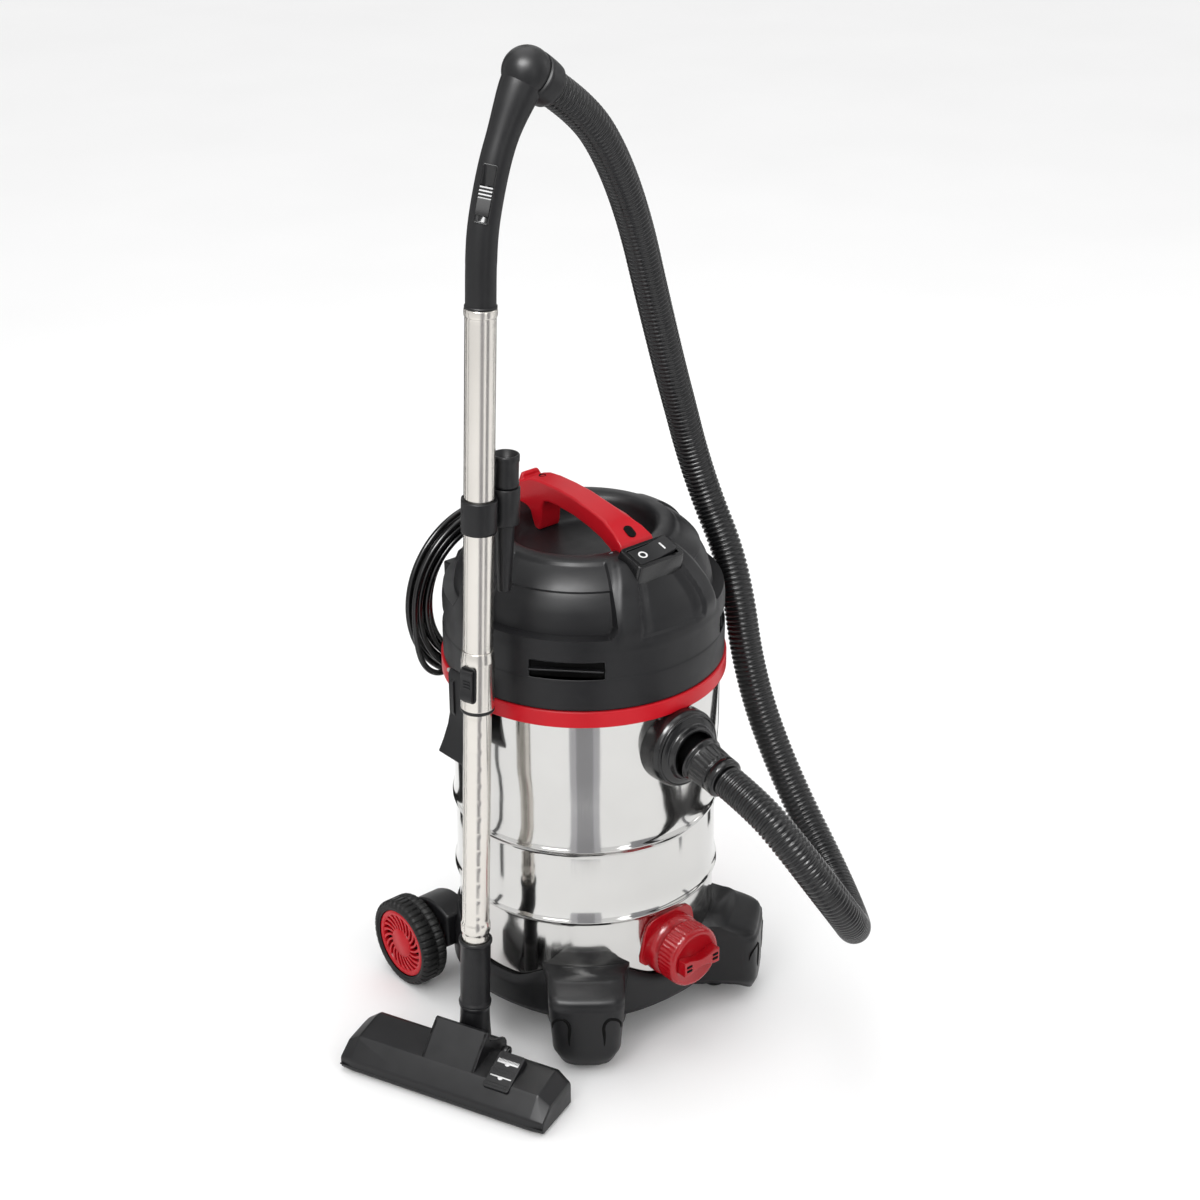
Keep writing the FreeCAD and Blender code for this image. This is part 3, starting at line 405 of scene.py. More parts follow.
def corrugated_hose():
    line = followed(route_line("hose_route", HOSE_ROUTE))
    stations, length = evenly(line, HOSE_PITCH * MM / 8)
    side = Vector((0, 0, 1)).cross(stations[0][1]).normalized()
    rings = []
    for i, (centre, along) in enumerate(stations):
        side = (side - along * side.dot(along)).normalized()
        up = along.cross(side)
        radius = HOSE_VALLEY + HOSE_RIDGE * sin(pi * (i / 8 % 1)) ** 0.7
        rings.append([(centre + (side * cos(a) + up * sin(a)) * radius * MM) / MM
                      for a in circle(36)])
    verts, faces = ring_grid(rings, cap_start=True, cap_end=True)
    made = piece("corrugated_hose", verts, faces, HOSE_BLACK, "drum", Matrix.Identity(4),
                 replaces=["hose"], slot="gloss_black")
    print("hose length", round(length, 3))


LEAD_ROUTE = [
    (-50, 198, 530), (-50, 197, 488), (-50, 190, 452), (-62, 187, 420), (-88, 187, 406),
    (-112, 189, 422), (-121, 193, 454),
]
TAIL_ROUTE = [(109, 213, 436), (107, 209, 402), (107, 204, 368), (107, 203, 338)]
COIL_SWEEP = (171, -2525)  # the angle where the coil begins and ends, in degrees
COIL_HEIGHT = 500
COIL_SPACING = 8.4
POINTS_PER_TURN = 16


def coil_point(turned):
    """A point of the coil: three turns inward, three back out beside them, the rest inward."""
    radius = 121 - COIL_SPACING * min(turned, 3) + COIL_SPACING * min(max(turned - 3, 0), 3)
    radius -= COIL_SPACING * max(turned - 6, 0)
    depth = 196.4 + 8.7 * step(2.6, 3.4, turned) + 8.7 * step(5.7, 6.4, turned)
    angle = radians(COIL_SWEEP[0] - 360 * turned)
    loose = 1 + 0.22 * max(0, -sin(angle)) + 0.12 * max(0, -cos(angle))
    radius = 108 + (radius - 108) * loose + 1.2 * sin(2.3 * turned)
    return radius * cos(angle), depth, COIL_HEIGHT + radius * sin(angle)


def power_cable():
    """The cable drops from its strain relief, winds into the coil on the hook, and ends in a plug."""
    turns = (COIL_SWEEP[0] - COIL_SWEEP[1]) / 360
    count = round(turns * POINTS_PER_TURN)
    coil = [coil_point(turns * i / count) for i in range(count + 1)]
    points = [at(DRUM, *p) for p in LEAD_ROUTE + coil + TAIL_ROUTE]
    curve = route_line("power_cable", points)
    curve.bevel_depth = 4 * MM
    curve.bevel_resolution = 4
    curve.use_fill_caps = True
    curve.materials.append(GLOSSY)
    cable = in_scene("power_cable", curve)
    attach(cable, "head")
    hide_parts("power_lead", "cable_coil", "power_tail")


# ---- motor head

HEAD_PROFILE = [
    (177, 493.5), (177.4, 500), (177.4, 530), (176.6, 537), (176.6, 560), (176.4, 574),
    (172.5, 596), (165, 613), (155, 628), (145, 641), (134, 651), (123, 658), (112, 661.5),
    (101, 662), (93, 660), (88, 655), (84, 645), (79, 637), (70, 633), (50, 632.4), (8, 632.4),
]
HEAD_SEGMENTS = 600


def wall(shell, thickness):
    """Give an open shell its wall, on the inside."""
    thick = shell.modifiers.new("wall", "SOLIDIFY")
    thick.thickness = thickness * MM
    thick.offset = -1


def panel_depth(angle, along):
    """How deep the four side panels and the front apron are let into the cover, in millimetres."""
    depth = 0.0
    for middle, half in ((-146, 29), (-34, 29), (38, 25), (142, 25)):
        corner = 5 * (1 - step(84, 112, along)) ** 2
        inside = sector(angle, middle, half - corner, 0.7)
        window = step(92, 94, along) * (1 - step(186, 194, along))
        slope = 3.4 + 7.0 * (1 - step(94, 150, along)) + 2.8 * (1 - step(150, 152, along))
        depth = max(depth, inside * window * slope)
    width = 16.5 - 4.5 * step(100, 190, along)
    apron = sector(angle, -90, width, 0.8) * step(88, 90, along) * (1 - step(176, 182, along))
    depth = max(depth, 3.6 * apron)
    scoop = sector(angle, 90, 30, 2.0) * step(100, 106, along) * (1 - step(180, 196, along))
    return max(depth, 4.0 * scoop)


def ridge_height(angle, along):
    """The raised ribs each side of the apron, in millimetres."""
    rise = 0.0
    for middle, lean in ((-109.5, 4.0), (-70.5, -4.0)):
        centre = middle + lean * step(110, 190, along)
        rise = max(rise, sector(angle, centre, 7.0, 2.4) * step(78, 104, along)
                   * (1 - step(178, 196, along)))
    return 4.2 * rise


def head_cover():
    """The head's shell, with its let-in panels, its ribs and its exhaust slots cut out."""
    profile = blend_steps(HEAD_PROFILE, 8)
    lengths = [0.0]
    for (r0, z0), (r1, z1) in zip(profile, profile[1:]):
        lengths.append(lengths[-1] + hypot(r1 - r0, z1 - z0))
    rings = []
    for (radius, height), (out_r, out_z), along in zip(profile, normals(profile), lengths):
        ring = []
        for j in range(HEAD_SEGMENTS):
            bearing = 360 * j / HEAD_SEGMENTS - 180
            angle = radians(bearing)
            shift = 0.0
            if along < 205:
                shift = ridge_height(bearing, along) - panel_depth(bearing, along)
            r, z = radius + out_r * shift, height + out_z * shift
            if 200 < along < 300:
                r *= 1 + 0.06 * cos(2 * angle) * step(200, 222, along)
            ring.append((r * cos(angle), r * sin(angle), z))
        rings.append(ring)
    verts, faces = ring_grid(rings, cap_end=True)
    vents = set()
    for index in range(len(faces) - 1):
        row, column = divmod(index, HEAD_SEGMENTS)
        bearing = 360 * (column + 0.5) / HEAD_SEGMENTS - 180
        height = (profile[row][1] + profile[row + 1][1]) / 2
        slot_height = 535 < height < 556 and lengths[row] < 80
        if slot_height and any(abs(abs(bearing) - m) < 15 for m in (43, 137)):
            vents.add(index)
    kept = [face for index, face in enumerate(faces) if index not in vents]
    cover = piece("head_shell", verts, kept, HEAD_BLACK, "head", replaces=["head_cover"],
                  slot="black", crease=30)
    wall(cover, 2.2)


def vent_backs():
    """The boxes behind the exhaust slots, near-black as painted shade, each with a slat."""
    for index, middle in enumerate((-137, -43, 43, 137)):
        place = DRUM @ turn(middle)
        block(f"vent_back_{index}", (158, -47, 533), (166, 47, 558), PAINTED_SHADE, "head", place)
        block(f"vent_slat_{index}", (166, -45, 544), (173.2, 45, 546), BLACK, "head", place,
              bevel=0.5)


def latches():
    outline = [(181.5, 503), (181.5, 440), (184, 424), (195, 408.5), (205, 400), (208.4, 402.4),
               (200, 418), (192.5, 436), (189.3, 450), (189.3, 504), (186.5, 510), (183, 510)]
    rib = [(189, 500), (191.6, 497), (191.6, 455), (189, 449)]
    for name, facing in (("left", 180), ("right", 0)):
        place = DRUM @ turn(facing) @ turn(90, "X")
        plate(f"{name}_latch_lever", outline, -33.6, 33.6, BLACK, f"{name}_latch", place, bevel=1.6,
              replaces=[f"{name}_latch"], slot="black")
        for k, y in enumerate((-24, 24)):
            plate(f"{name}_latch_rib_{k}", rib, y - 3, y + 3, BLACK, f"{name}_latch", place,
                  bevel=0.8)


HANDLE_SIDE = [
    (-105, 657), (-104, 665), (-99, 672), (-84, 681), (-60, 688.5), (-30, 695), (0, 699.5), (30, 701.5),
    (60, 701.5), (80, 699.5), (92, 695.6), (99.4, 692), (100.4, 699.5), (106.5, 699.5), (107, 687.5),
    (112.4, 681), (115.4, 671), (113.6, 662.6), (104, 655), (98, 644), (93, 633.4), (66, 633.4),
    (63.5, 640), (62, 656), (60, 668), (56, 674.6), (48, 677.6), (30, 677.8), (0, 675.6), (-30, 669.6),
    (-52, 663), (-70, 656), (-80, 652),
]


def handle():
    """The red carrying handle: a side outline that flares out towards the switch."""
    verts = []
    for side in (-1, 1):
        for y, z in HANDLE_SIDE:
            rear_tab = z > 692.5 and y > 99
            half = 12.5 if rear_tab else 16.5 + 10 * step(58, 102, -y)
            verts.append((side * half, y, z))
    bar = piece("carry_handle", verts, slab_faces(len(HANDLE_SIDE)), RED, "head", bevel=3.2,
                replaces=["handle"], slot="red")
    bar.modifiers["rounding"].segments = 4
    tilt = DRUM @ move(0, -88, 679.4) @ turn(29, "X")
    # The two screw holes are thin near-black plates and rings: painted shade in the holes.
    plate("handle_front_hole", rounded(12, 18, 5.8), -3, 0.5, PAINTED_SHADE, "head", tilt, bevel=0.2)
    lathe("handle_rear_hole", [(0.1, -2), (4.6, -2), (4.6, 0.35), (3.4, 0.35), (3.4, -1), (0.1, -1)],
          PAINTED_SHADE, "head", DRUM @ move(0, 78, 699.9), segments=32, replaces=["handle_screws"])


SWITCH = DRUM @ move(0, -126, 658) @ turn(17, "X")
ROCKER = SWITCH @ move(0, 0, 10) @ turn(-7, "Y")


def switch():
    levels = ((76, 46, 7, -24), (73, 43, 6, 2), (70, 40, 5, 9.4), (60, 29, 2.5, 9.4), (60, 29, 2.5, -7))
    rings = [[(x, y, z) for x, y in rounded(width, depth, radius)]
             for width, depth, radius, z in levels]
    verts, faces = ring_grid(rings, cap_end=True)
    piece("switch_housing", verts, faces, GLOSSY, "head", SWITCH, bevel=0.9,
          replaces=["switch_box"], slot="black")
    top = [(-28.4, 0.6), (-28.4, 2.2), (-14, 0.6), (0, -0.6), (14, 0.6), (28.4, 2.2), (28.4, 0.6),
           (10, -11), (-10, -11)]
    plate("switch_paddle", top, -13.2, 13.2, BLACK, "rocker", ROCKER @ turn(90, "X"), bevel=0.7,
          replaces=["switch_rocker"], slot="black")
    ring = [(3.8, 0.0), (5.9, 0.0), (5.9, 0.35), (3.8, 0.35), (3.8, 0.0)]
    lathe("off_mark", ring, WHITE, "rocker", ROCKER @ move(-15, 0, 1.05) @ turn(6.5, "Y"),
          segments=40)
    plate("on_mark", rounded(2.1, 12, 0.6), 0, 0.35, WHITE, "rocker",
          ROCKER @ move(15, 0, 1.05) @ turn(-6.5, "Y"))
    wedge = [(-44, -96, 652), (-31, -103, 650), (-31, -92, 664), (-40, -90, 661)]
    low = [(x, y, z - 8) for x, y, z in wedge]
    verts, faces = ring_grid([low, wedge], cap_start=True, cap_end=True)
    piece("indicator_wedge", verts, faces, GREY, "head", bevel=0.8)


def rear_fittings():
    lathe("blow_outlet", [(19, 150), (19, 183.4), (20, 184), (25.4, 184), (26, 183.4), (26, 180.4),
                          (23, 179.6), (23, 150)], BLACK, "head", DRUM @ move(z=545) @ REAR,
          segments=72, replaces=["blow_port"], slot="black")
    side = [(171, 573.4), (223, 573.4), (227.4, 577.6), (227.6, 603.6), (224.6, 605.8), (222.4, 603.8),
            (222.2, 588), (218, 586.6), (171, 586.6)]
    plate("cable_hook_arm", side, -14.6, 14.6, BLACK, "head", DRUM @ SIDE_ON,
          bevel=1.4, replaces=["cable_hook"], slot="black")
    relief = [(4.0, 505)]
    for ring_number in range(6):
        z = 506.5 + ring_number * 4.6
        radius = 5.6 + ring_number * 0.42
        relief += [(radius, z), (radius, z + 2.9), (radius - 1.0, z + 3.1), (radius - 0.8, z + 4.4)]
    relief += [(8, 534), (8, 536)]
    lathe("cable_relief", relief, GLOSSY, "head", DRUM @ move(-50, 198), segments=36,
          replaces=["strain_relief"])
    block("relief_foot", (-61.6, 158, 536), (-38.4, 209.6, 555.6), BLACK, "head", bevel=2.2)


# ---- drum and base

def drum_skin():
    """The polished drum, with its two rolled ribs and a rolled foot."""
    profile = [(150, 91.2), (161, 91.4), (165.6, 93.4), (167, 97.5), (167, 140), (167, 178),
               (168, 182), (171.6, 186.2), (172.4, 188), (171.8, 190), (170.2, 193), (169, 200),
               (168.5, 212), (168.4, 240), (168.4, 276), (168.8, 284), (171.4, 289.4),
               (172.5, 291.4), (171.9, 293.6), (170.2, 297), (169.1, 305), (168.7, 318),
               (169.4, 345), (171, 372), (172, 392), (172, 420), (172, 470), (172, 487.6)]
    lathe("drum_skin", blend_steps(profile, 5), STEEL, "drum", segments=200, replaces=["drum"],
          slot="steel")
    band = [(173, 471.2), (179, 471.2), (180, 472.4), (180, 491), (179, 492.6), (173, 492.8)]
    lathe("band_skin", band, RED, "drum", segments=200, bevel=0.5, replaces=["rim_band"],
          slot="red")


SHOE_ANGLES = (-130, -50)
ARM_ANGLES = (135, 45)


def near(angle, middles, half, edge):
    return max(sector(angle, m, half, edge) for m in middles)


def base_skirt():
    """The base ring. Its top edge rises at the caster shoes and at the wheel arms."""
    columns = []
    for bearing in range(360):
        top = 91 + near(bearing, SHOE_ANGLES, 22, 13) * 28 + near(bearing, ARM_ANGLES, 24, 14) * 26
        low = 51 - 2 * near(bearing, SHOE_ANGLES, 20, 12)
        bulge = 3.4 * near(bearing, SHOE_ANGLES, 26, 14) + 2.0 * near(bearing, ARM_ANGLES, 26, 12)
        column = [(163, low)]
        for share in (level / 9 for level in range(10)):
            column.append((175.6 + bulge * (1 - share) - 4.2 * step(0.8, 1.0, share),
                           low + (top - low) * share))
        column += [(170.0, top + 1.2), (168.2, top - 0.4), (168.0, top - 9)]
        angle = radians(bearing)
        columns.append([(r * cos(angle), r * sin(angle), z) for r, z in column])
    verts, faces = ring_grid(list(zip(*columns)))
    piece("base_skirt", verts, faces, BLACK, "drum", replaces=["base"], slot="black")
    deck = [(0.5, 84.2), (163.4, 84.2), (163.4, 52)]
    lathe("base_deck", deck, BLACK, "drum", segments=96)
    for index in range(6):
        block(f"deck_rib_{index}", (20, -1.2, 72), (162, 1.2, 84.6), BLACK, "drum",
              DRUM @ turn(60 * index + 30), bevel=0.4)
    head = [(0.1, 81), (4.6, 81), (5.2, 82), (5.2, 84.4), (0.1, 84.4)]
    for index in range(4):
        lathe(f"deck_screw_{index}", head, ZINC, "drum", DRUM @ turn(90 * index + 45) @ move(110),
              segments=24)


SHOE_CORNER = 19
SHOE_LEVELS = [12.4, 14, 17, 21, 26, 32, 38, 46, 56, 66, 76, 86, 95, 99.6, 101.4, 104, 107, 109.6, 112,
               114, 115.8, 117.4, 118.8, 119.8]


def shoe_section(height):
    """How far out, and how wide, a caster shoe is at one height."""
    drop = 1 - step(10, 36, height)
    over = step(101, 121, height)
    reach = 233 - 6 * drop ** 2 - 2.4 * step(99.6, 101.4, height) - 34 * over ** 2
    half = 43.5 - 5 * drop ** 2 + 5 * step(30, 108, height)
    return reach, half


def shoe_front(reach, half, y):
    """How far out the front of a shoe is, at a distance to one side of its middle."""
    beyond = abs(y) - (half - SHOE_CORNER)
    if beyond > 0:
        return reach - SHOE_CORNER + wall_depth(SHOE_CORNER, beyond)
    return reach + 1.4 * (1 - (y / half) ** 2)


def shoe_ring(z):
    """One level of a shoe, from its one side round the front to its other side."""
    reach, half = shoe_section(z)
    straight = half - SHOE_CORNER
    edge = [(150, half + 8), (163, half + 5.5), (174, half + 1.5)]
    for k in range(8, -1, -1):
        angle = radians(90 * k / 8)
        edge.append((reach - SHOE_CORNER + SHOE_CORNER * cos(angle), straight + SHOE_CORNER * sin(angle)))
    front = [-straight + 2 * straight * k / 8 for k in range(1, 8)]
    ring = ([(x, -y) for x, y in edge] + [(shoe_front(reach, half, y), y) for y in front]
            + edge[::-1])
    lift = 12 * (1 - step(12, 46, z))
    return [(x, y, z + lift * min(1, abs(y) / half) ** 4) for x, y in ring]


def caster_shoes():
    """The two shoes over the front casters, each with two raised arches."""
    for index, angle in enumerate(SHOE_ANGLES):
        place = DRUM @ turn(angle)
        verts, faces = ring_grid([shoe_ring(z) for z in SHOE_LEVELS], closed=False)
        count = len(verts) // len(SHOE_LEVELS)
        faces.append(tuple(range(len(verts) - count, len(verts))))
        wall(piece(f"caster_shoe_{index}", verts, faces, BLACK, "drum", place), 2.6)
        for side in (-1, 1):
            shoe_groove(f"shoe_groove_{index}_{side + 1}", place, side)


def shoe_groove(name, place, side):
    """A raised arch on the front of a shoe, like a drop with its stem running down, near-black as painted
    shade of a groove.
    """
    drop = [(22, 46), (22.3, 57), (21.6, 66), (21.4, 74), (23.6, 81), (29, 85.6), (35.5, 84.4),
            (40.2, 80), (42.4, 74), (42.8, 67)]
    path = blend_steps([(side * y, z) for y, z in drop], 4)
    last = len(path) - 1
    rings = []
    for i, ((y, z), (ny, nz)) in enumerate(zip(path, normals(path))):
        out = shoe_front(*shoe_section(z), y)
        width = 2.1 * min(1, 0.25 + i / 9, 0.25 + (last - i) / 6)
        rings.append([(out + 0.5 * sin(a) * width, y - ny * width * cos(a), z - nz * width * cos(a))
                      for a in circle(8)])
    verts, faces = ring_grid(rings, cap_start=True, cap_end=True)
    piece(name, verts, faces, PAINTED_SHADE, "drum", place)


def axle_end(sign, out):
    """The frame of one end of the rear axle, local Z facing outward."""
    return DRUM @ move(sign * out, 141, 60) @ turn(90 * sign, "Y")


def wheel_arm(name, sign):
    """The moulded bracket that carries one end of the rear axle."""
    side = [(86, 66), (118, 42), (128, 38.4), (152, 38.4), (164, 44), (170, 54), (171, 84), (166, 98),
            (156, 108), (140, 116), (124, 120), (104, 118), (86, 112)]
    outline = blend_steps(side, 3)
    place = DRUM @ SIDE_ON
    low, high = sorted((sign * 127.5, sign * 167.6))
    plate(f"{name}_wheel_arm", outline, low, high, BLACK, "drum", place, bevel=4)
    boss = [(13, 0), (12.4, 2.2), (5.6, 2.2), (5.6, 0)]
    lathe(f"{name}_axle_boss", boss, BLACK, "drum", axle_end(sign, 167.4), segments=48)


TREAD_BLOCKS = 40


def rear_wheel(name, sign):
    place = axle_end(sign, 170)
    profile = [(47.2, 1), (54, 0.4), (57.4, 1.6), (59.6, 4.4), (60, 8), (60, 30), (59.6, 33.6),
               (57.4, 36.4), (54, 37.6), (51, 37.8), (49.5, 36.2), (47.2, 36)]

    def tread(angle, radius, height):
        """Blocks round both edges, those on one edge between those on the other."""
        if radius <= 56:
            return radius, height
        phase = (angle / (2 * pi) * TREAD_BLOCKS) % 1
        if height <= 16:
            return radius - 2.6 * ((phase + 0.5) % 1 < 0.24), height
        groove = phase < 0.24
        return radius - 2.6 * groove, height - 0.8 * (groove and height > 34)

    fine = (blend_steps(profile[:5], 3) + [(60, 15.9), (57.3, 16), (57.3, 17.4), (60, 17.5)]
            + blend_steps(profile[5:], 3))
    lathe(f"{name}_tyre_tread", fine, RUBBER, f"{name}_wheel", place, segments=400, shape=tread,
          replaces=[f"{name}_tyre"], slot="tyre")
    wheel_face(name, place)


def wheel_face(name, place):
    """The red disc: a hub, a rim, and curved spokes over a recess in painted shade."""
    rim = [(46.9, 3), (46.9, 34), (45.8, 35.2), (40.4, 35.2), (39.4, 34.4), (39.4, 28)]
    lathe(f"{name}_disc_rim", rim, RED, f"{name}_wheel", place, segments=120,
          replaces=[f"{name}_wheel_disc"], slot="red")
    hub = [(5.1, 2), (13.6, 2), (13.6, 26), (20, 28), (20, 34.4), (19, 35.2), (0.2, 35.4)]
    lathe(f"{name}_disc_hub", hub, RED, f"{name}_wheel", place, segments=96)
    # The disc's back, near-black: painted shade behind the spokes.
    back = [(13, 26.6), (45, 26.6), (45, 28), (13, 28)]
    lathe(f"{name}_disc_back", back, PAINTED_SHADE, f"{name}_wheel", place, segments=72)
    spokes = 22
    verts, faces = [], []
    for s in range(spokes):
        base = len(verts)
        for k in range(9):
            share = k / 8
            radius = 19 + 21.4 * share
            swirl = 2 * pi * s / spokes + 0.40 * share ** 1.3
            half = (0.56 - 0.14 * sin(pi * share)) * pi / spokes
            for edge in (-1, 1):
                for z in (27.6, 34.4):
                    angle = swirl + edge * half
                    verts.append((radius * cos(angle), radius * sin(angle), z))
        for k in range(8):
            a = base + 4 * k
            b = a + 4
            faces += [(a + 1, a + 3, b + 3, b + 1), (a, b, b + 2, a + 2),
                      (a, a + 1, b + 1, b), (a + 2, b + 2, b + 3, a + 3)]
    piece(f"{name}_disc_spokes", verts, faces, RED, f"{name}_wheel", place, bevel=0.5)


# ---- inlet and drain

def inlet():
    place = DRUM @ move(z=INLET_HEIGHT) @ FRONT
    flange = [(50, 164), (50, 186), (49.4, 190), (47.4, 194), (44, 197.4), (40, 199.2), (37, 200.2),
              (35.4, 202), (34.6, 205), (34, 208.4), (32.6, 209), (29.6, 209), (28.2, 207.6), (28.2, 168)]

    def trimmed(angle, radius, depth):
        limit = 180.5 if INLET_HEIGHT + radius * sin(angle) > 470.6 else 172.4
        nearest = wall_depth(limit, radius * cos(angle))
        return radius, max(depth, nearest) if depth < 192 else depth

    lathe("inlet_collar", blend_steps(flange[:10], 3) + flange[10:], GLOSSY, "drum", place,
          segments=128, shape=trimmed, replaces=["inlet_flange", "inlet_gasket"], slot="black")
    notch = [(44.6, 196.4), (47, 194.2), (47.6, 195.4), (45, 197.8), (44.6, 196.4)]
    lathe("inlet_edge_ring", notch, GLOSSY, "drum", place, segments=128)
    body = [(22, -12), (22, 11), (28, 11), (29.6, 12), (30, 14), (29.6, 16), (28, 17.6), (26.6, 18.6),
            (26.4, 21)]
    lathe("cuff_collar", body, GLOSSY, "hose_cuff", CUFF, segments=96, replaces=["hose_cuff"],
          slot="black")

    def flutes(angle, radius, height):
        wave = 0.5 + 0.5 * cos(24 * angle)
        return radius - 1.2 * (1 - wave) * step(20, 24, height) * (1 - step(41, 44, height)), height

    fluted = [(26.4, 19), (26.4, 22), (26.2, 28), (25.8, 36), (25.4, 42), (25.3, 44.6), (24.2, 45.4),
              (24.2, 46.6), (25.4, 47.4), (25.4, 56.6), (24.6, 58.4), (23, 59.9), (17.4, 59.9)]
    lathe("cuff_grip", fluted, GLOSSY, "hose_cuff", CUFF, segments=240, shape=flutes)


DRAIN_HEIGHT = 130
DRUM_WALL = 167.2


def drain():
    place = DRUM @ move(z=DRAIN_HEIGHT) @ FRONT

    def on_drum(angle, radius, depth):
        """The neck's foot follows the drum's wall."""
        return radius, wall_depth(DRUM_WALL, radius * cos(angle)) + 0.3 if depth < 172 else depth

    neck = [(41.6, 165), (41.8, 174), (41, 179), (38, 183), (35, 185), (34, 187), (34, 204), (26, 204),
            (26, 180)]
    lathe("drain_neck", neck, DEEP_RED, "drum", place, segments=128, shape=on_drum,
          replaces=["drain_port"], slot="red")
    apron = [(-44, 8), (-30, 44), (30, 44), (44, 8), (40, -20), (-40, -20)]
    edge = blend_steps(apron + apron[:1], 4)[:-1]
    rings = [[(x, -wall_depth(DRUM_WALL, x) - out, DRAIN_HEIGHT + min(z, 49)) for x, z in edge]
             for out in (0.3, 3.2)]
    verts, faces = ring_grid(rings, cap_end=True)
    piece("drain_apron", verts, faces, DEEP_RED, "drum", bevel=0.8)

    def knurls(angle, radius, depth):
        ridge = 0.5 + 0.5 * cos(44 * angle)
        inside = step(189, 191, depth) * (1 - step(206, 210, depth))
        return (radius - 1.5 * (1 - ridge) * inside if radius > 37 else radius), depth

    cap = [(34.2, 188), (39.4, 188), (40.6, 189), (40.9, 191), (40.9, 208), (40.2, 211.5), (38.2, 214.4),
           (35.6, 215.8), (33, 216.2), (31.6, 215.2), (0.2, 215.2)]
    lathe("drain_cap_skin", cap, DEEP_RED, "drain_cap", place, segments=352, shape=knurls,
          replaces=["drain_cap"], slot="red")
    bow = [(-29.5, -10.5), (-29.5, 10.5), (-20, 10), (-9, 6.2), (0, 5.2), (9, 6.2), (20, 10),
           (29.5, 10.5), (29.5, -10.5), (20, -10), (9, -6.2), (0, -5.2), (-9, -6.2), (-20, -10)]
    plate("drain_cap_bow", bow, 214.4, 228.6, DEEP_RED, "drain_cap", place, bevel=1.3)
    # Pockets in the bow, near-black plates: painted shade.
    for k, (x, y) in enumerate(((-22, 3), (-22, -3), (22, 3), (22, -3))):
        plate(f"bow_pocket_{k}", rounded(9, 3.6, 0.8, 2, (x, y)), 228.2, 229, PAINTED_SHADE, "drain_cap",
              place)


# ---- wand

BUTTON_SIDE = -162  # which way the length button faces, in degrees about the wand
SLIDER_SIDE = -141  # which way the air slider and the cuff's seam face


def tube_sector(angle, middle, half, edge):
    """The same as sector, for an angle in radians."""
    return sector(degrees(angle), middle, half, edge)


def inner_tube():
    """The lower tube, with a line of pressed notches for the length button."""
    notches = [229 + 22.9 * i for i in range(13)]
    heights = sorted(set([166, 170, 178, 186, 194, 198, 200, 202, 204, 208, 212, 214, 216, 218, 221]
                         + [n + d for n in notches for d in (-8, -5.4, -4.2, -3, 0, 3, 4.2, 5.4, 8)]
                         + [520, 560, 600, 639]))
    profile = [(16.9 + 1.5 * step(199, 204, z) * (1 - step(212, 218, z)), z) for z in heights]

    def pressed(angle, radius, height):
        for notch in notches:
            if abs(height - notch) < 7:
                inside = tube_sector(angle, -143, 30, 14) * (1 - step(1.6, 3.6, abs(height - notch)))
                return radius - 0.8 * inside, height
        return radius, height

    lathe("lower_tube", profile, TUBE, "drum", WAND, segments=120, shape=pressed,
          replaces=["inner_tube"], slot="warm_steel")


def wand_cuff():
    profile = [(15, 96.6), (20.2, 96.6), (20.6, 97.6), (20.6, 99), (20, 100.4), (18.9, 101.6),
               (18.7, 104), (18.9, 150), (19, 183.6), (19.6, 184.8), (20.8, 185.8), (21, 187.4),
               (20.8, 189.4), (20, 190), (17.6, 190), (17.3, 186)]
    lathe("lower_cuff", profile, BLACK, "drum", WAND, segments=96, replaces=["wand_cuff"],
          slot="black")
    plate("cuff_seam", rounded(1.2, 70, 0.5), 18.4, 19.15, BLACK, "drum",
          WAND @ move(z=142) @ turn(SLIDER_SIDE) @ turn(90, "Y") @ turn(90), bevel=0.2)


def outer_tube():
    profile = [(17.1, 512.2), (19.6, 512.2), (20, 513), (20, 566), (20, 574), (19.4, 580), (18.4, 587),
               (18, 592), (18, 700), (18, 820), (18, 950), (18, 989.4), (18.5, 991.6), (19, 993.6),
               (19, 999.6), (18.4, 1000.9), (17.6, 1000.9)]

    def flat(angle, radius, height):
        """The socket is pressed flat where the length button sits."""
        pressed = step(518, 524, height) * (1 - step(568, 578, height))
        inside = tube_sector(angle, BUTTON_SIDE, 26, 8) * pressed
        return radius - 1.0 * inside, height

    fine = blend_steps(profile, 4)
    lathe("upper_tube", fine, TUBE, "upper_wand", WAND, segments=144, shape=flat,
          replaces=["outer_tube"], slot="warm_steel")
    ring = [(17.1, 507.2), (19.6, 507.2), (20.3, 508.2), (20.3, 511), (19.8, 512), (17.1, 512)]
    lathe("tube_end_ring", ring, BLACK, "upper_wand", WAND, segments=96, replaces=["tube_collar"],
          slot="black")


def length_button():
    place = WAND @ turn(BUTTON_SIDE)
    side = [(20.8, 526.5), (22.6, 526.5), (24.8, 529), (25.4, 534), (24.2, 540), (23.8, 548),
            (24.2, 556), (25.4, 562), (24.6, 566.4), (22.6, 567), (20.8, 567)]
    plate("length_button", blend_steps(side, 3), -8.2, 8.2, BLACK, "tube_button",
          place @ turn(90, "X"), bevel=1.4, replaces=["tube_button"], slot="grey_plastic")
    plate("button_frame", rounded(46, 21, 5), 18.2, 20.6, BLACK, "upper_wand",
          place @ move(z=547) @ turn(90, "Y"), bevel=0.8)
    for index in range(3):
        block(f"button_rib_{index}", (23.6, -4.6, 544 + 4 * index), (24.9, 4.6, 545.6 + 4 * index),
              BLACK, "tube_button", place, bevel=0.4)


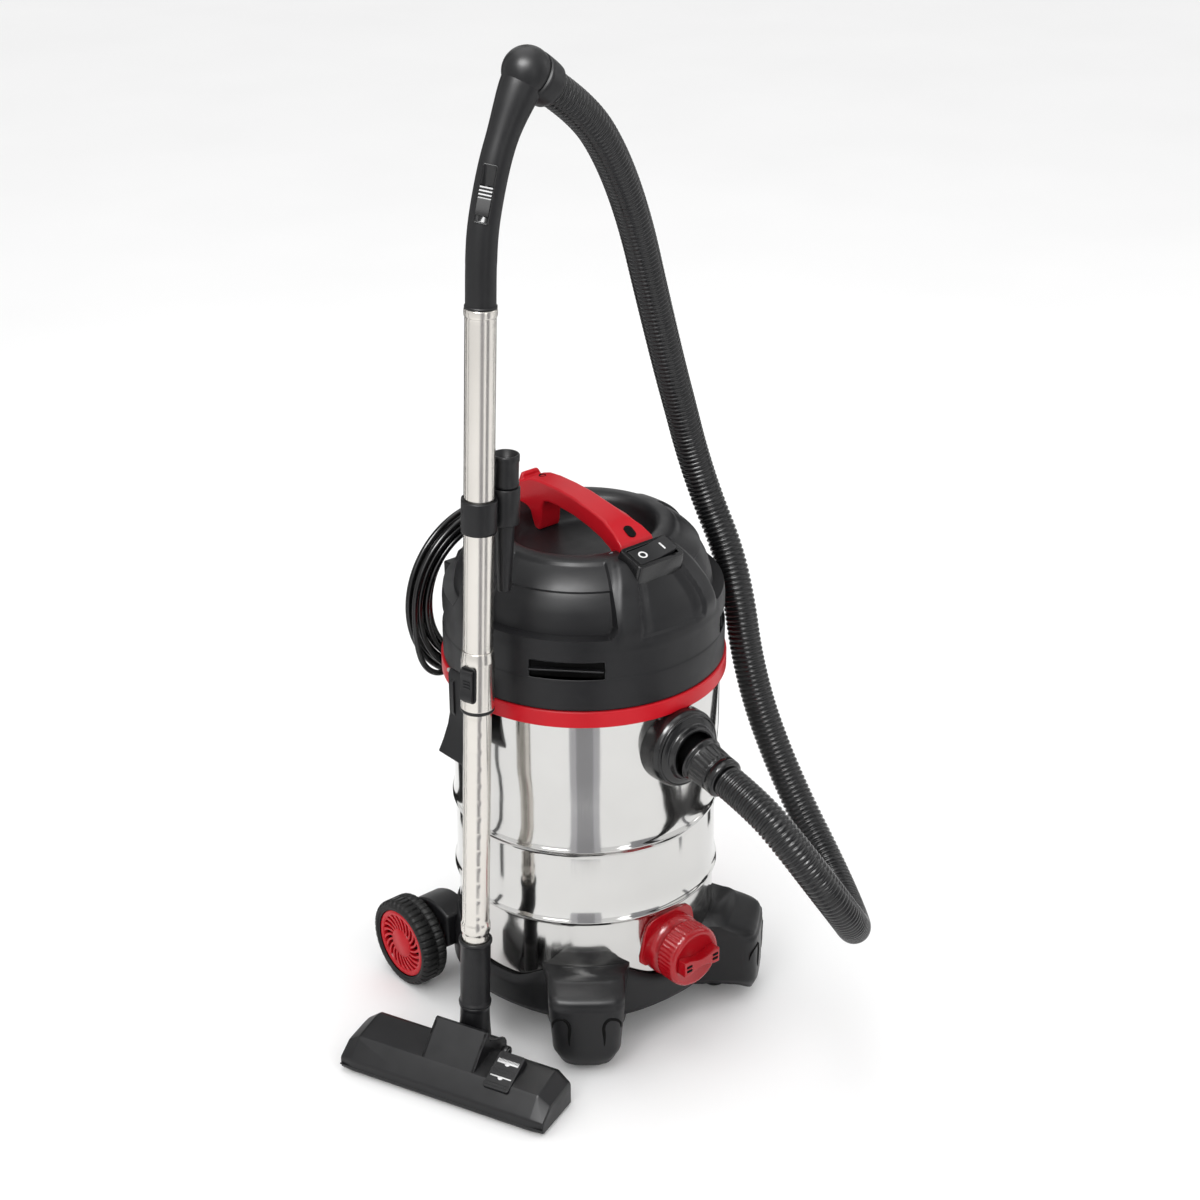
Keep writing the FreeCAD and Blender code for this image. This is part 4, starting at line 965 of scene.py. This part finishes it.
def tool_holder():
    collar = [(18.1, 737.2), (20.2, 737.2), (21, 738.4), (21, 773.6), (20.2, 774.8), (18.1, 774.8)]
    lathe("holder_clamp", blend_steps(collar, 2), BLACK, "upper_wand", WAND, segments=96,
          replaces=["tool_holder"], slot="black")
    ring = [(14.3, 737.2), (16.6, 737.2), (17.2, 738.2), (17.2, 781), (16.6, 781.9), (14.3, 781.9)]
    lathe("holder_ring", ring, BLACK, "upper_wand", WAND @ move(38), segments=72)
    block("holder_web", (18.6, -6, 740), (24, 6, 772), BLACK, "upper_wand", WAND, bevel=1.2)
    tool = [(6.2, 652.2), (7.6, 652.2), (8.2, 653.4), (13.4, 775), (13.8, 782.4), (15.8, 784), (16, 787),
            (15.2, 789), (15.2, 812), (16, 814), (16, 820.6), (15.2, 821.8), (13.6, 821.8), (12.6, 790)]
    lathe("crevice_nozzle", tool, BLACK, "crevice_tool", WAND @ move(38), segments=72,
          replaces=["crevice_tool"], slot="black")


GRIP_LINE = [(0, 1001), (0, 1048), (2, 1085), (8, 1120), (17.5, 1158), (29, 1190), (42, 1219),
             (55, 1243), (66, 1255)]


def grip():
    """The bent hand grip, its elbow and the mouth that the hose turns in."""
    line = blend_steps(GRIP_LINE, 8)
    rings = []
    for (x, z), (out_x, out_z) in zip(line, normals(line)):
        radius = 17.5 if z < 1050.4 else 17.7
        radius -= 0.9 * (1 - step(0.4, 1.4, abs(z - 1050.6)))
        radius += 6.6 * step(1172, 1250, z) ** 1.3
        rings.append([(x + out_x * radius * cos(a), radius * sin(a) * 0.98,
                       z + out_z * radius * cos(a)) for a in circle(64)])
    verts, faces = ring_grid(rings, cap_start=True, cap_end=True)
    piece("hand_grip", verts, faces, BLACK, "upper_wand", WAND, replaces=["grip"], slot="black")
    lathe("grip_collar", [(17.2, 1001), (18.5, 1001.2), (18.6, 1003.4), (17.4, 1004.2)], BLACK,
          "upper_wand", WAND, segments=72)
    mouth = WAND @ move(60, 0, 1252) @ turn(90 + MOUTH_SLOPE, "Y")
    dome = [radians(180 - 7.2 * k) for k in range(17)]
    elbow = [(max(0.2, 28 * sin(a)), 28 * cos(a)) for a in dome]
    elbow += [(27.9, 8), (27.6, 16), (27.1, 24), (26.4, 30), (25.6, 34), (24.2, 35.8), (21.6, 36),
              (17, 36)]
    lathe("grip_elbow", elbow, BLACK, "upper_wand", mouth, segments=96)
    air_slider()


def air_slider():
    """The window in the grip that lets air in, and the slider over it."""
    place = WAND @ move(5, 0, 1104) @ turn(12, "Y") @ turn(SLIDER_SIDE)
    rings = []
    for out, size in ((15.6, 0.0), (18.0, 0.0), (18.8, 0.8), (18.8, 2.0), (17.6, 2.6)):
        outline = rounded(64.4 - size, 17.5 - size, 2.4)
        rings.append([(out, y, 23.8 + x) for x, y in outline])
    verts, faces = ring_grid(rings, cap_end=True)
    piece("air_window", verts, faces, GLOSSY, "upper_wand", place)
    side = [(17.8, 0), (18.6, 0), (19.8, 1.4), (19.8, 18), (19, 20), (19.8, 22), (19, 24), (19.8, 26),
            (19, 28), (19.6, 30), (18.6, 32), (17.8, 32)]
    plate("air_slider_skin", side, -7.6, 7.6, GLOSSY, "air_slider", place @ turn(90, "X"), bevel=0.5,
          replaces=["air_slider"], slot="black")


# ---- floor nozzle

NOZZLE_FRONT = [(-88, 4.2), (-89, 7), (-89, 19), (-88.2, 22), (-86, 24.6), (-69.6, 41), (-66.6, 43.4),
                (-62, 44.6), (-30, 49.2), (-20, 49.4), (-14.4, 47.4), (-13, 44), (-13, 36), (-13, 22),
                (-13, 4.2)]


def nozzle_shell():
    """The nozzle's long roof, a facet at each end and its edges rounded."""
    stations = [-147, -146.2, -143.6, -130.4, -128.4, -60, 0, 60, 128.4, 130.4, 143.6, 146.2, 147]
    rings = []
    for x in stations:
        end = abs(x)
        lid = 1 - 0.40 * max(0, end - 129.4) / 17.6
        ring = []
        for y, z in NOZZLE_FRONT:
            height = z if z < 16 else 16 + (z - 16) * lid
            depth = y + (50 + y) * -0.06 * max(0, end - 129.4) / 17.6
            if end > 146.9:
                height = 5 + (height - 5) * 0.9
                depth *= 0.99
            ring.append((x, depth, height))
        rings.append(ring)
    verts, faces = ring_grid(rings, closed=False)
    count = len(NOZZLE_FRONT)
    faces += [tuple(range(count)), tuple(range(len(verts) - count, len(verts)))]
    shell = piece("nozzle_roof", verts, faces, BLACK, "nozzle", NOZZLE, bevel=1.0,
                  replaces=["nozzle_body"], slot="black")
    shell.modifiers["rounding"].angle_limit = radians(14)
    block("nozzle_under", (-142, -85, 3.9), (142, -14, 8), BLACK, "nozzle", NOZZLE, bevel=0.6)
    block("nozzle_front_lip", (-146.6, -89.5, 9.4), (146.6, -87.2, 10.8), BLACK, "nozzle", NOZZLE,
          bevel=0.4)


PEDAL_SLOPE = 24


def nozzle_saddle():
    """The raised cover over the neck's pivot: a flat steep hood between two cheeks."""
    side = [(-80, 28.6), (-62, 48), (-45, 65.4), (-29.4, 80), (-25.4, 80), (-24.6, 66), (-8, 56),
            (4, 51.4), (12, 47), (16, 40), (15.4, 26), (13, 21), (-12, 19), (-60, 21)]
    place = NOZZLE @ SIDE_ON
    for name, low, high in (("far", -38, -33.2), ("near", 33.2, 38)):
        plate(f"saddle_cheek_{name}", side, low, high, BLACK, "nozzle", place, bevel=0.8)
    hood = [(-80, 28.6), (-62, 48), (-45, 65.4), (-29.4, 80), (-25.4, 80), (-24.6, 19), (-60, 21)]
    plate("saddle_hood", hood, -37.9, 37.9, BLACK, "nozzle", place, bevel=0.7)


def neck():
    profile = [(0.3, 42), (18.6, 42), (20.6, 46), (20.8, 50), (20, 58), (18.8, 74), (18.6, 88),
               (19.4, 92), (20, 95.8), (15, 96)]
    lathe("swivel_neck", blend_steps(profile, 3), BLACK, "neck", WAND, segments=96,
          replaces=["nozzle_neck"], slot="black")
    barrel = [(0.3, -32.6), (13.6, -32.6), (15, -31.4), (15, 31.4), (13.6, 32.6), (0.3, 32.6)]
    pivot = NOZZLE @ move(z=35) @ turn(90, "Y")
    lathe("neck_barrel", barrel, BLACK, "neck", pivot, segments=72)
    cap = [(0.2, 41), (7, 41), (8.4, 42.2), (8.4, 49), (7.6, 50), (4, 50), (4, 48.6), (0.2, 48.6)]
    lathe("neck_pivot_cap", cap, BLACK, "neck", pivot, segments=48)


def pedal():
    """The foot rocker with two pictograms: bristles out, and bristles in."""
    place = NOZZLE @ move(74, -52.4, 49) @ turn(PEDAL_SLOPE, "X")
    plate("pedal_top", rounded(36, 52, 3.2), -9, 2.4, BLACK, "pedal", place, bevel=0.9,
          replaces=["nozzle_pedal"], slot="black")
    for y in (-22, -18, -1.5, 2, 20, 23):
        block(f"pedal_rib_{y}", (-15.5, y - 0.6, 2.2), (15.5, y + 0.6, 2.9), BLACK, "pedal", place,
              bevel=0.25)
    for index, (y, half) in enumerate(((-9, 0.8), (11, 1.2))):
        block(f"mark_bar_{index}", (-14.6, y - half, 2.3), (14.6, y + half, 2.8), WHITE, "pedal", place,
              bevel=0)
        dome = [(3.6 * cos(radians(a)), y - 0.4 - 3.6 * sin(radians(a))) for a in range(0, 181, 18)]
        plate(f"mark_dome_{index}", dome, 2.3, 2.8, WHITE, "pedal", place)
    for k in range(17):
        x = -14 + 28 * k / 16
        block(f"mark_bristle_{k}", (x - 0.4, 12, 2.3), (x + 0.4, 15.4, 2.8), WHITE, "pedal", place,
              bevel=0)


def bristles():
    """Two strips of short bristles in their holders, cut with many small teeth."""
    for index, y in enumerate((-77, -32)):
        block(f"brush_holder_{index}", (-125, y - 2.4, 5), (125, y + 2.4, 10.8), BLACK, "brushes",
              NOZZLE, bevel=0.5, replaces=["brush_strips"] if index == 0 else ())
        verts, faces = [], []
        for k in range(250):
            x = -124.5 + k
            lean = 0.5 * sin(k * 2.4)
            base = len(verts)
            verts += [(x, y - 1.8, 5.4), (x + 0.8, y - 1.8, 5.4), (x + 0.8, y + 1.8, 5.4),
                      (x, y + 1.8, 5.4), (x + 0.4 + lean, y + lean, 0.5)]
            faces += [(base, base + 1, base + 4), (base + 1, base + 2, base + 4),
                      (base + 2, base + 3, base + 4), (base + 3, base, base + 4)]
        piece(f"bristle_row_{index}", verts, faces, BRISTLE, "brushes", NOZZLE, smooth=False)


def rollers():
    profile = [(1.7, -3.9), (5.8, -3.9), (6.9, -3), (6.9, 3), (5.8, 3.9), (1.7, 3.9)]
    for name, x in (("far", -98), ("near", 98)):
        lathe(f"{name}_roller_skin", profile, RUBBER, f"{name}_roller",
              NOZZLE @ move(x, -19, 7) @ turn(90, "Y"), segments=48,
              replaces=[f"{name}_nozzle_wheel"], slot="black")


# ---- light, floor, camera

LIGHTS = [  # name, place, height that it faces, width, height, power, seen in highlights only
    ("key", (-2.6, -1.2, 2.6), 0.5, 1.2, 2.2, 22, False),
    ("front", (-0.2, -3.4, 1.6), 0.5, 1.0, 2.4, 12, False),
    ("right", (3.0, -1.4, 2.0), 0.5, 0.8, 2.4, 14, False),
    ("top", (0.2, 0.6, 3.4), 0.6, 2.2, 2.2, 24, False),
    ("sheen", (-1.25, -0.75, 2.8), 0.6, 1.5, 0.9, 105, True),
]


def area_light(name, place, aim, width, height, power, highlight_only):
    data = bpy.data.lights.new(name, "AREA")
    data.shape = "RECTANGLE"
    data.size = width
    data.size_y = height
    data.energy = power
    lamp = in_scene(name, data)
    lamp.visible_diffuse = not highlight_only
    lamp.location = place
    lamp.rotation_euler = (Vector((0, 0, aim)) - Vector(place)).to_track_quat("-Z", "Y").to_euler()


def studio():
    floor_material, tree, shader = new_material("pale_floor", (0.95, 0.95, 0.95), 0.9)
    tree.links.new(tint(tree, noise(tree, 2, 2), (0.94, 0.94, 0.94), (0.96, 0.96, 0.96)),
                   shader.inputs["Base Color"])
    data = bpy.data.meshes.new("studio_floor")
    reach = 30
    data.from_pydata([(-reach, -reach, 0), (reach, -reach, 0), (reach, reach, 0), (-reach, reach, 0)],
                     [], [(0, 1, 2, 3)])
    data.materials.append(floor_material)
    floor = in_scene("studio_floor", data)
    world = bpy.data.worlds.new("studio")
    world.use_nodes = True
    world.node_tree.nodes["Background"].inputs["Color"].default_value = (1, 1, 1, 1)
    world.node_tree.nodes["Background"].inputs["Strength"].default_value = 0.92
    bpy.context.scene.world = world
    for light in LIGHTS:
        area_light(*light)
    for index, card in enumerate(FLAGS):
        flag(index, *card)


# Upright cards that only reflections see, as a studio uses to put dark lines in bright metal:
# each one's direction in degrees, its distance and width in metres, and its shade.
FLAGS = [
    (140, 0.50, 0.09, 0.01), (163, 0.50, 0.03, 0.10), (-138.5, 0.60, 0.05, 0.62),
    (-130, 0.60, 0.13, 0.40), (-121.5, 0.60, 0.05, 0.62), (-50, 0.55, 0.03, 0.25), (-4, 0.50, 0.07, 0.02),
    (20, 0.50, 0.10, 0.01), (60, 0.50, 0.10, 0.02), (108, 0.50, 0.14, 0.01), (-84, 1.20, 0.50, 0.30),
    (92, 1.10, 0.60, 0.03), (-22, 1.10, 0.18, 0.02),
]


def flag(index, direction, distance, width, shade):
    colour = (shade, shade, shade * 1.05)
    material = new_material(f"flag_card_{index}", colour, 1.0)[0]
    data = bpy.data.meshes.new(f"flag_{index}")
    half = width / 2
    data.from_pydata([(distance, -half, 0.002), (distance, half, 0.002), (distance, half, 1.7),
                      (distance, -half, 1.7)], [], [(0, 1, 2, 3)])
    data.materials.append(material)
    card = in_scene(f"flag_{index}", data)
    card.matrix_world = DRUM @ turn(direction)
    card.visible_camera = False
    card.visible_diffuse = False
    card.visible_shadow = False


def camera():
    data = bpy.data.cameras.new("camera")
    data.sensor_width = 36
    data.lens = 69
    bpy.context.scene.view_settings.view_transform = "Standard"
    eye = in_scene("camera", data)
    eye.matrix_world = (DRUM @ move(-1660.4, -1989.7, 1808.1) @ turn(-40.3) @ turn(64.2, "X")
                        @ turn(-0.3))
    bpy.context.scene.camera = eye


for build in (studio, camera, corrugated_hose, power_cable, head_cover, vent_backs, latches, handle,
              switch, rear_fittings, drum_skin, base_skirt, caster_shoes):
    build()
for side_name, side_sign in (("left", -1), ("right", 1)):
    wheel_arm(side_name, side_sign)
    rear_wheel(side_name, side_sign)
for build in (inlet, drain, inner_tube, wand_cuff, outer_tube, length_button, tool_holder, grip,
              nozzle_shell, nozzle_saddle, neck, pedal, bristles, rollers):
    build()
